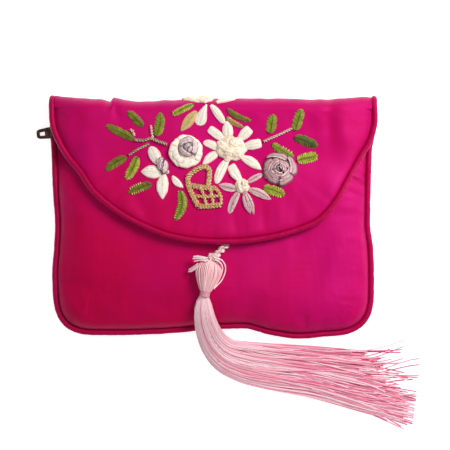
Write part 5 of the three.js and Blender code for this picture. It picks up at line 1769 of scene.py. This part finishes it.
STEMS = [
    ("stem_left_upper", [(-77.5, 43.4), (-68, 43.8), (-62, 42), (-54, 45), (-45.5, 48)], 0.41, stem_silk, [1.25, 0.4]),
    ("stem_left_lower", [(-83.5, 58.5), (-76, 53.5), (-63.5, 47.2)], 0.33, stem_silk, [1.1, 0.6]),
    ("stem_right", [(50.5, 45), (58, 41.5), (64, 39), (78.5, 32)], 0.36, blush_stem, [1.2, 0.7]),
    ("stitch_left_1", [(-82, 33), (-79.5, 35.5), (-78, 39.5)], 0.36, blush_stem, [0.4, 1.2]),
    ("stitch_left_2", [(-61.8, 29), (-61, 35), (-59.8, 41.5)], 0.32, blush_stem, [0.5, 1.2]),
]
for name, way, ply, silk, thick in STEMS:
    made = laid_cord(name + "_silk", [way], ply, 2.6, silk, thick=[np.linspace(*thick, laid_steps)])
    wear(made, name, slot="stem_thread")

# %% Basket
BASKET = [
    [(-24.5, 88.5), (-24.5, 80.5), (-18, 74.5), (-10, 70.8), (-4.5, 72), (-3.5, 79), (-5, 89.5)],
    [(-24.5, 88.5), (-11, 90.8), (3, 92)],
    [(-24.5, 88.5), (-20, 99), (-14.5, 109.5)],
    [(3, 92), (7.5, 99), (8, 108)],
    [(-14.5, 109.5), (-3, 109.3), (8, 108)],
    [(-20, 99), (-6, 100), (7.5, 99)],
    [(-13, 90), (-9, 99), (-6.5, 109)],
    [(-3, 91.5), (-1, 99.5), (0.5, 108.5)],
]


def beside(way, off):
    """The same line moved sideways by off stitches."""
    way = curve_through(way, 14)
    step = unit_of(np.gradient(way, axis=0))
    return way + np.stack([-step[:, 1], step[:, 0]], 1) * off


double = [beside(BASKET[i], off) for i in (0, 1, 2, 4) for off in (-1.0, 1.0)]
single = [BASKET[i] for i in (3, 5, 6, 7)]
basket = laid_cord("basket_double", double, 0.45, 2.9, gold_cord, lift=0.65)
weft = laid_cord("basket_single", single, 0.46, 2.9, gold_cord, lift=0.85)
spots, turns, sizes = [], [], []
bar_unit = small_piece("bar", 6, 6, lambda t: (t - 0.5, np.sin(math.pi * np.clip(t, 0.03, 0.97)) ** 0.3))
for i in (0, 1, 2, 4):
    way = laid_line(BASKET[i], 60, 1.5)
    for j in range(5, 58, 7):
        step = way[j + 1] - way[j - 1]
        spots.append(way[j])
        turns.append(facing(np.cross([0, 0, 1], step), (0, 0, 1)))
        sizes.append([2.2, 0.36, 0.42])
couching = scatter("basket_stitches", spots, turns, sizes, bar_unit, gold_cord, Seed=8)
basket = joined("gold_basket", [basket, weft, couching])
wear(basket, "basket", slot="gold_cord")
print("basket:", len(basket.data.polygons), "faces")

# %% [markdown]
# ## Tassel
# The tassel hangs from a short twisted cord at the flap's tip. A knot opens into an onion-shaped head of parallel
# silk, a wrap of thread draws in the neck, and the skirt falls over the bottom edge and trails off to the right over
# the table. Each thread of the skirt is a line of its own with its own small waves, and all are swept by one tree.

# %% Tassel finishes
def silk(name, root, end, deep):
    sheen = {"Sheen_Weight": 0.3, "Sheen_Roughness": 0.35, "Sheen_Tint": linear("FFD8E2")}
    material, tree, shader, _ = finish(name, Roughness=0.42, Specular_IOR_Level=0.45, **sheen)
    far = span(tree, value_of(tree, "along"), 0.01, 0.07)
    colour = blend(tree, far, root, end)
    # On the skirt the tint follows how high a thread lies, so low tints are painted shade under the threads above and
    # the highest are a painted highlight; elsewhere the tint is random tone.
    under_shade_and_tone = times(tree, span(tree, value_of(tree, "tint"), 0.45, 0.05), plus(tree, times(tree, far, 0.35), 0.6))
    colour = blend(tree, under_shade_and_tone, colour, deep)
    colour = blend(tree, times(tree, span(tree, value_of(tree, "tint"), 0.8, 1.0), 0.7), colour, "FFE4EA")
    paint(tree, shader, colour)
    return material


pink_silk = silk("pale pink silk", "FFCCD4", "FFA0BA", "D2487A")
head_silk = silk("pink head silk", "FFCACE", "FFCACE", "CC5C70")
cord_silk = thread_finish("cream and pink silk", "F8D2CE", "FFECE6", "DC8C9A", 300.0)
wrap_silk = thread_finish("pink wrap silk", "E49AAA", "EFB4BE", "C4607C", 300.0)

# %% Tables of the tassel
TASSEL = [  # right, down, lift, half width and half height in millimetres
    (-1, 163.5, 1.6, 2.2, 1.8),
    (-2.4, 167.5, 0.3, 4.6, 3.2),
    (-4, 174, 0, 5.8, 3.7),
    (-5.6, 183, 0.2, 4.7, 3.2),
    (-7, 190.5, 0.7, 3, 2.3),
    (-8, 196, 1.7, 1.3, 1.2),
]
SKIRT = [  # right, share of the way from the neck to the bottom edge, lift, half spread, half height
    (-8.4, 0.02, 1.8, 1.4, 0.9),
    (-9.3, 0.22, 0.9, 3.3, 1.5),
    (-8.6, 0.5, 1.1, 4.4, 1.8),
    (-5.2, 0.85, 1.6, 5.4, 1.8),
]
SKIRT_PAST = [  # right, stitches past the bottom edge, height as a share of the seam's, half spread, half height
    (2, 9, 0.7, 6.6, 1.8),
    (14, 20.5, 0.12, 8.2, 1.9),
    (32, 27, 0.03, 9.6, 1.8),
    (57, 31.5, 0, 10.6, 1.7),
    (107, 38, 0, 12.2, 1.5),
    (157, 47, 0, 14.5, 1.2),
    (207, 54.5, 0, 17, 0.8),
]
neck_y = flap_top_line - 196 * stitch


def carries(x, y):
    """How high the purse stands here: the front panel, its piping or the table."""
    inside = depth_at(x, y, tucked_in) > 0
    rim_ = depth_at(x, y, 0.0) > 0
    return np.where(inside, front_top(x, y), np.where(rim_, seam(y) + piping_radius, 0.0))


def ground_at(x, y):
    return float(carries(np.array(x), np.array(y)))


# %% Head
HEAD_STEPS, HEAD_THREADS, CORE_SIDES = 40, 64, 20
centre = []
for right, down, lift, wide, tall in TASSEL:
    x, y = right * stitch, flap_top_line - down * stitch
    centre.append((x, y, ground_at(x, y) + 0.3 + tall + lift, wide, tall))
head_line = curve_through(centre, HEAD_STEPS)
threads, tints = [], []
random = np.random.default_rng(5)
way = np.gradient(head_line[:, :3], axis=0)
side = unit_of(np.cross(way, [0, 0, 1]))
up = unit_of(np.cross(side, way))
for k in range(HEAD_THREADS):
    a = 2 * math.pi * k / HEAD_THREADS + random.uniform(-0.03, 0.03)
    lay_out = 1 + random.uniform(-0.05, 0.06)
    swing = a + 0.15 * np.sin(np.linspace(0, math.pi, HEAD_STEPS) + random.uniform(-0.4, 0.4))
    threads.append(
        head_line[:, :3]
        + side * (head_line[:, 3] * 0.97 * lay_out * np.cos(swing))[:, None]
        + up * (head_line[:, 4] * 0.97 * lay_out * np.sin(swing))[:, None]
    )
    tints.append(random.uniform(0, 1))
thick = [random.uniform(0.8, 1.2) for _ in threads]
head = threads_of("head_threads", threads, 0.31, 6, head_silk, thick, tints)
core_a = 2 * math.pi * np.arange(CORE_SIDES) / CORE_SIDES
core = (
    head_line[:, None, :3]
    + side[:, None] * (head_line[:, 3] * 0.93)[:, None, None] * np.cos(core_a)[None, :, None]
    + up[:, None] * (head_line[:, 4] * 0.93)[:, None, None] * np.sin(core_a)[None, :, None]
)
core = np.concatenate([0 * core[:1] + head_line[0, :3], core, 0 * core[:1] + head_line[-1, :3]])
core_faces = grid_faces(len(core), CORE_SIDES, closed=True)[:, ::-1]
# The core's low tint paints it deeper pink, as shade in the gaps between the head's threads.
core_piece = mesh_of("head_core", core, core_faces, values={"tint": 0.1, "along": 0.0}, finish=head_silk)

# %% Skirt
SKIRT_THREADS = 560
middle = []
for right, toward, lift, spread, tall in SKIRT:
    x, y = right * stitch, mix(neck_y, -purse_height / 2, toward)
    middle.append((x, y, ground_at(x, y) + 0.3 + tall + lift, spread, tall))
for right, past, drop, spread, tall in SKIRT_PAST:
    middle.append((right * stitch, -purse_height / 2 - past * stitch, 0.1 + tall + drop * seam_height, spread, tall))
skirt_line = curve_through(middle, 120)
skirt_way = unit_of(np.gradient(skirt_line[:, :2], axis=0))
skirt_side = np.stack([skirt_way[:, 1], -skirt_way[:, 0]], 1)


def skirt_thread(seed, steps=34):
    """One thread of the skirt: across is -1 at its low edge and 1 at its top edge, where threads are shorter."""
    random = np.random.default_rng(1000 + seed)
    across = random.uniform(-1, 1)
    upward = random.uniform(-1, 1)
    over = random.random() < 0.1
    if over:
        upward = random.uniform(0.8, 1.05)
    stray = random.random() < 0.1
    reach = mix(0.985, 0.8, smooth(-0.6, 1, across)) * (
        random.uniform(0.88, 1.0) if random.random() < 0.75 else random.uniform(0.7, 0.92)
    )
    reach = min(1.0, reach + (0.12 if stray else 0))
    t = np.linspace(0.0, reach, steps)
    at = t * (len(skirt_line) - 1)
    base = np.stack([np.interp(at, np.arange(len(skirt_line)), skirt_line[:, k]) for k in range(5)], 1)
    sx = np.interp(at, np.arange(len(skirt_line)), skirt_side[:, 0])
    sy = np.interp(at, np.arange(len(skirt_line)), skirt_side[:, 1])
    lock_at = np.round(across * 8 + random.uniform(-0.3, 0.3)) / 8
    drawn = mix(across, lock_at, 0.4 * smooth(0.25, 0.6, t) * (1 - 0.5 * smooth(0.85, 1, t)))
    wander = drawn + 0.07 * np.sin(random.uniform(3, 7) * t + random.uniform(0, 6)) * smooth(0.1, 0.5, t)
    wander = wander + 0.11 * np.sin(5 * t + 9 * lock_at) * smooth(0.3, 0.7, t)
    if over:
        wander = wander + random.uniform(-0.7, 0.5) * smooth(0.1, 0.9, t)
    wander = np.clip(wander, -1, 0.98)
    tip = random.normal(0, 0.15) + (random.uniform(0.2, 0.55) if stray and across > 0.3 else 0)
    wander = wander + tip * smooth(0.72, 1, t) ** 1.5
    off = -base[:, 3] * wander
    x, y = base[:, 0] + sx * off, base[:, 1] + sy * off
    full = np.sqrt(np.clip(1 - np.clip(wander, -1, 1) ** 2, 0.04, 1))
    high = base[:, 4] * (upward * full + 0.15 * np.sin(9 * t + random.uniform(0, 6)) * smooth(0.2, 0.6, t))
    z = np.maximum(base[:, 2] + high, carries(x, y) + 0.25)
    for _ in range(3):
        z[1:-1] = np.maximum(z[1:-1], (z[:-2] + 2 * z[1:-1] + z[2:]) / 4)
    thick = random.uniform(0.75, 1.3) * mix(1, 0.72, smooth(0.6, 1, t / reach))
    # The tint rises with how high the thread lies in the skirt, plus a random part: the silk finish paints it as shade
    # and highlight.
    return np.column_stack([x, y, z]), thick, np.clip(0.5 + 0.3 * upward + random.uniform(-0.6, 0.55), 0, 1)


ways, thick, tints = zip(*[skirt_thread(i) for i in range(SKIRT_THREADS)])
skirt = threads_of("skirt_threads", ways, 0.34, 4, pink_silk, thick, tints)
print("skirt:", len(skirt.data.polygons), "faces")

# %% Loops, tufts and knot
MIDDLE = (213, 216.5)  # the purse's middle, in stitches from the upper left


def free_thread(points, count=24):
    """A loose thread over the head: places in stitches from the upper left, heights over what is under them."""
    points = [((x - MIDDLE[0]) * stitch, (MIDDLE[1] - y) * stitch, z) for x, y, z in points]
    return curve_through([(x, y, ground_at(x, y) + z) for x, y, z in points], count)


LOOPS = [
    [(215, 259, 7), (220, 262, 6.2), (222.5, 268, 4.6), (220, 276, 3.6), (213, 285, 4.5)],
    [(214, 257, 7), (222, 260, 5.6), (225.5, 268, 3.6), (222, 279, 2.8), (214, 288, 4)],
]
loose = [free_thread(points) for points in LOOPS]
random = np.random.default_rng(12)
for _ in range(9):
    a, b = random.uniform(-2, 2, 2)
    tuft = [(207 + a, 259 + b, 7), (202 + a, 258 + b, 6.4), (196 + 1.4 * a, 258 + 1.6 * b, 5.2)]
    loose.append(free_thread(tuft, 12))
for _ in range(4):
    a, b = random.uniform(-1.5, 1.5, 2)
    loose.append(free_thread([(199 + a, 264 + b, 6), (195 + a, 267 + b, 5), (190 + a, 270 + b, 3.6)], 12))
loops = threads_of("loose_threads", loose, 0.33, 6, head_silk)
top = head_line[0, :3]
turns_ = []
a = np.linspace(0, 2 * math.pi, 30)
for k in range(5):
    lean = 1.7 * np.sin(a) * math.cos(0.5 * k), 1.6 * np.sin(a) * math.sin(0.5 * k + 0.3)
    tip = np.column_stack([2.5 * np.cos(a), *lean])
    turn = np.array([[math.cos(k), math.sin(k), 0], [-math.sin(k), math.cos(k), 0], [0, 0, 1]])
    turns_.append(top + [0.4, 0.6, 0.4] + tip @ turn)
knot_piece = cords_of("knot_threads", turns_, 0.45, 2.6, 7, cord_silk)
tassel = joined("silk_tassel", [skirt, head, core_piece, loops, knot_piece])
wear(tassel, "tassel", slot="pink_silk")

# %% Cord and neck wrap
way = []
for right, down, lift in ((18, 137.5, 0.2), (14.5, 146, 0.2), (8, 153, 1.2), (1, 160.5, 2.6)):
    x, y = right * stitch, flap_top_line - down * stitch
    way.append((x, y, ground_at(x, y) + 1.05 + lift))
cord = cords_of("tassel_cord_silk", [curve_through(way, 90)], 0.95, 5.6, 10, cord_silk)
wear(cord, "tassel_cord", slot="pink_silk")

wrap_turns, wrap_long, wrap_wide, wrap_high = 6, 2.6, 2.05, 1.9
a = np.linspace(0, 2 * math.pi * wrap_turns, 220)
spine = head_line[-1, :3]
axis = spine - head_line[-4, :3]
axis /= np.linalg.norm(axis)
u = np.cross(axis, [0, 0, 1])
u /= np.linalg.norm(u)
v = np.cross(u, axis)
coil_line = spine + np.outer((a / a[-1] - 0.5) * wrap_long, axis)
coil_line = coil_line + np.outer(wrap_wide * np.cos(a), u) + np.outer(wrap_high * np.sin(a), v)
wrap_piece = threads_of("neck_wrap_silk", [coil_line], 0.32, 8, wrap_silk)
wear(wrap_piece, "tassel_neck_wrap", slot="pink_silk")

# %% [markdown]
# ## Clearing up
# The two satin panels are stuffed, the front more than the flap, by the shapes given above. This cell removes the
# stitch, bead and bar that were laid many times.

# %% Removing the laid units
for unit in (stitch_unit, bead_unit, bar_unit):
    bpy.data.objects.remove(unit)

# %% [markdown]
# ## Table and light
# A pale table, and one soft window light from the upper right, as in the picture: it brightens the right half of the
# satin and throws the flap's shadow down and to the left. The rest is even light from all round.

# %% Table and light
far_out = 3000
corners = [(a * far_out, b * far_out, 0) for a, b in ((-1, -1), (1, -1), (1, 1), (-1, 1))]
table = mesh_of("table", corners, [[0, 1, 2, 3]])
paper, tree, shader, spot = finish("white paper", Roughness=0.9, Specular_IOR_Level=0.1, Emission_Strength=0.72)
speck = noise(tree, spot, Scale=300.0)
paint(tree, shader, blend(tree, speck, "F6F6F6", "FCFCFC"))
shader.inputs["Emission Color"].default_value = linear("FFFFFF")
table.data.materials.append(paper)


def area_light(name, spot, aim, size, power, colour="FFFFFF"):
    lamp = put(name, bpy.data.lights.new(name, "AREA"))
    lamp.location = spot
    lamp.rotation_euler = (Vector(aim) - Vector(spot)).to_track_quat("-Z", "Y").to_euler()
    lamp.data.size, lamp.data.energy = size, power
    lamp.data.color = linear(colour)[:3]
    return lamp


area_light("window", (0.4, 0.29, 0.48), (0, 0, 0), 0.28, 4.3)
area_light("soft_box", (-0.1, -0.2, 0.9), (0, 0, 0), 0.9, 1.1)
world = bpy.data.worlds.new("studio")
bpy.context.scene.world = world
world.use_nodes = True
world.node_tree.nodes["Background"].inputs["Color"].default_value = linear("FFFFFF")
world.node_tree.nodes["Background"].inputs["Strength"].default_value = 0.3
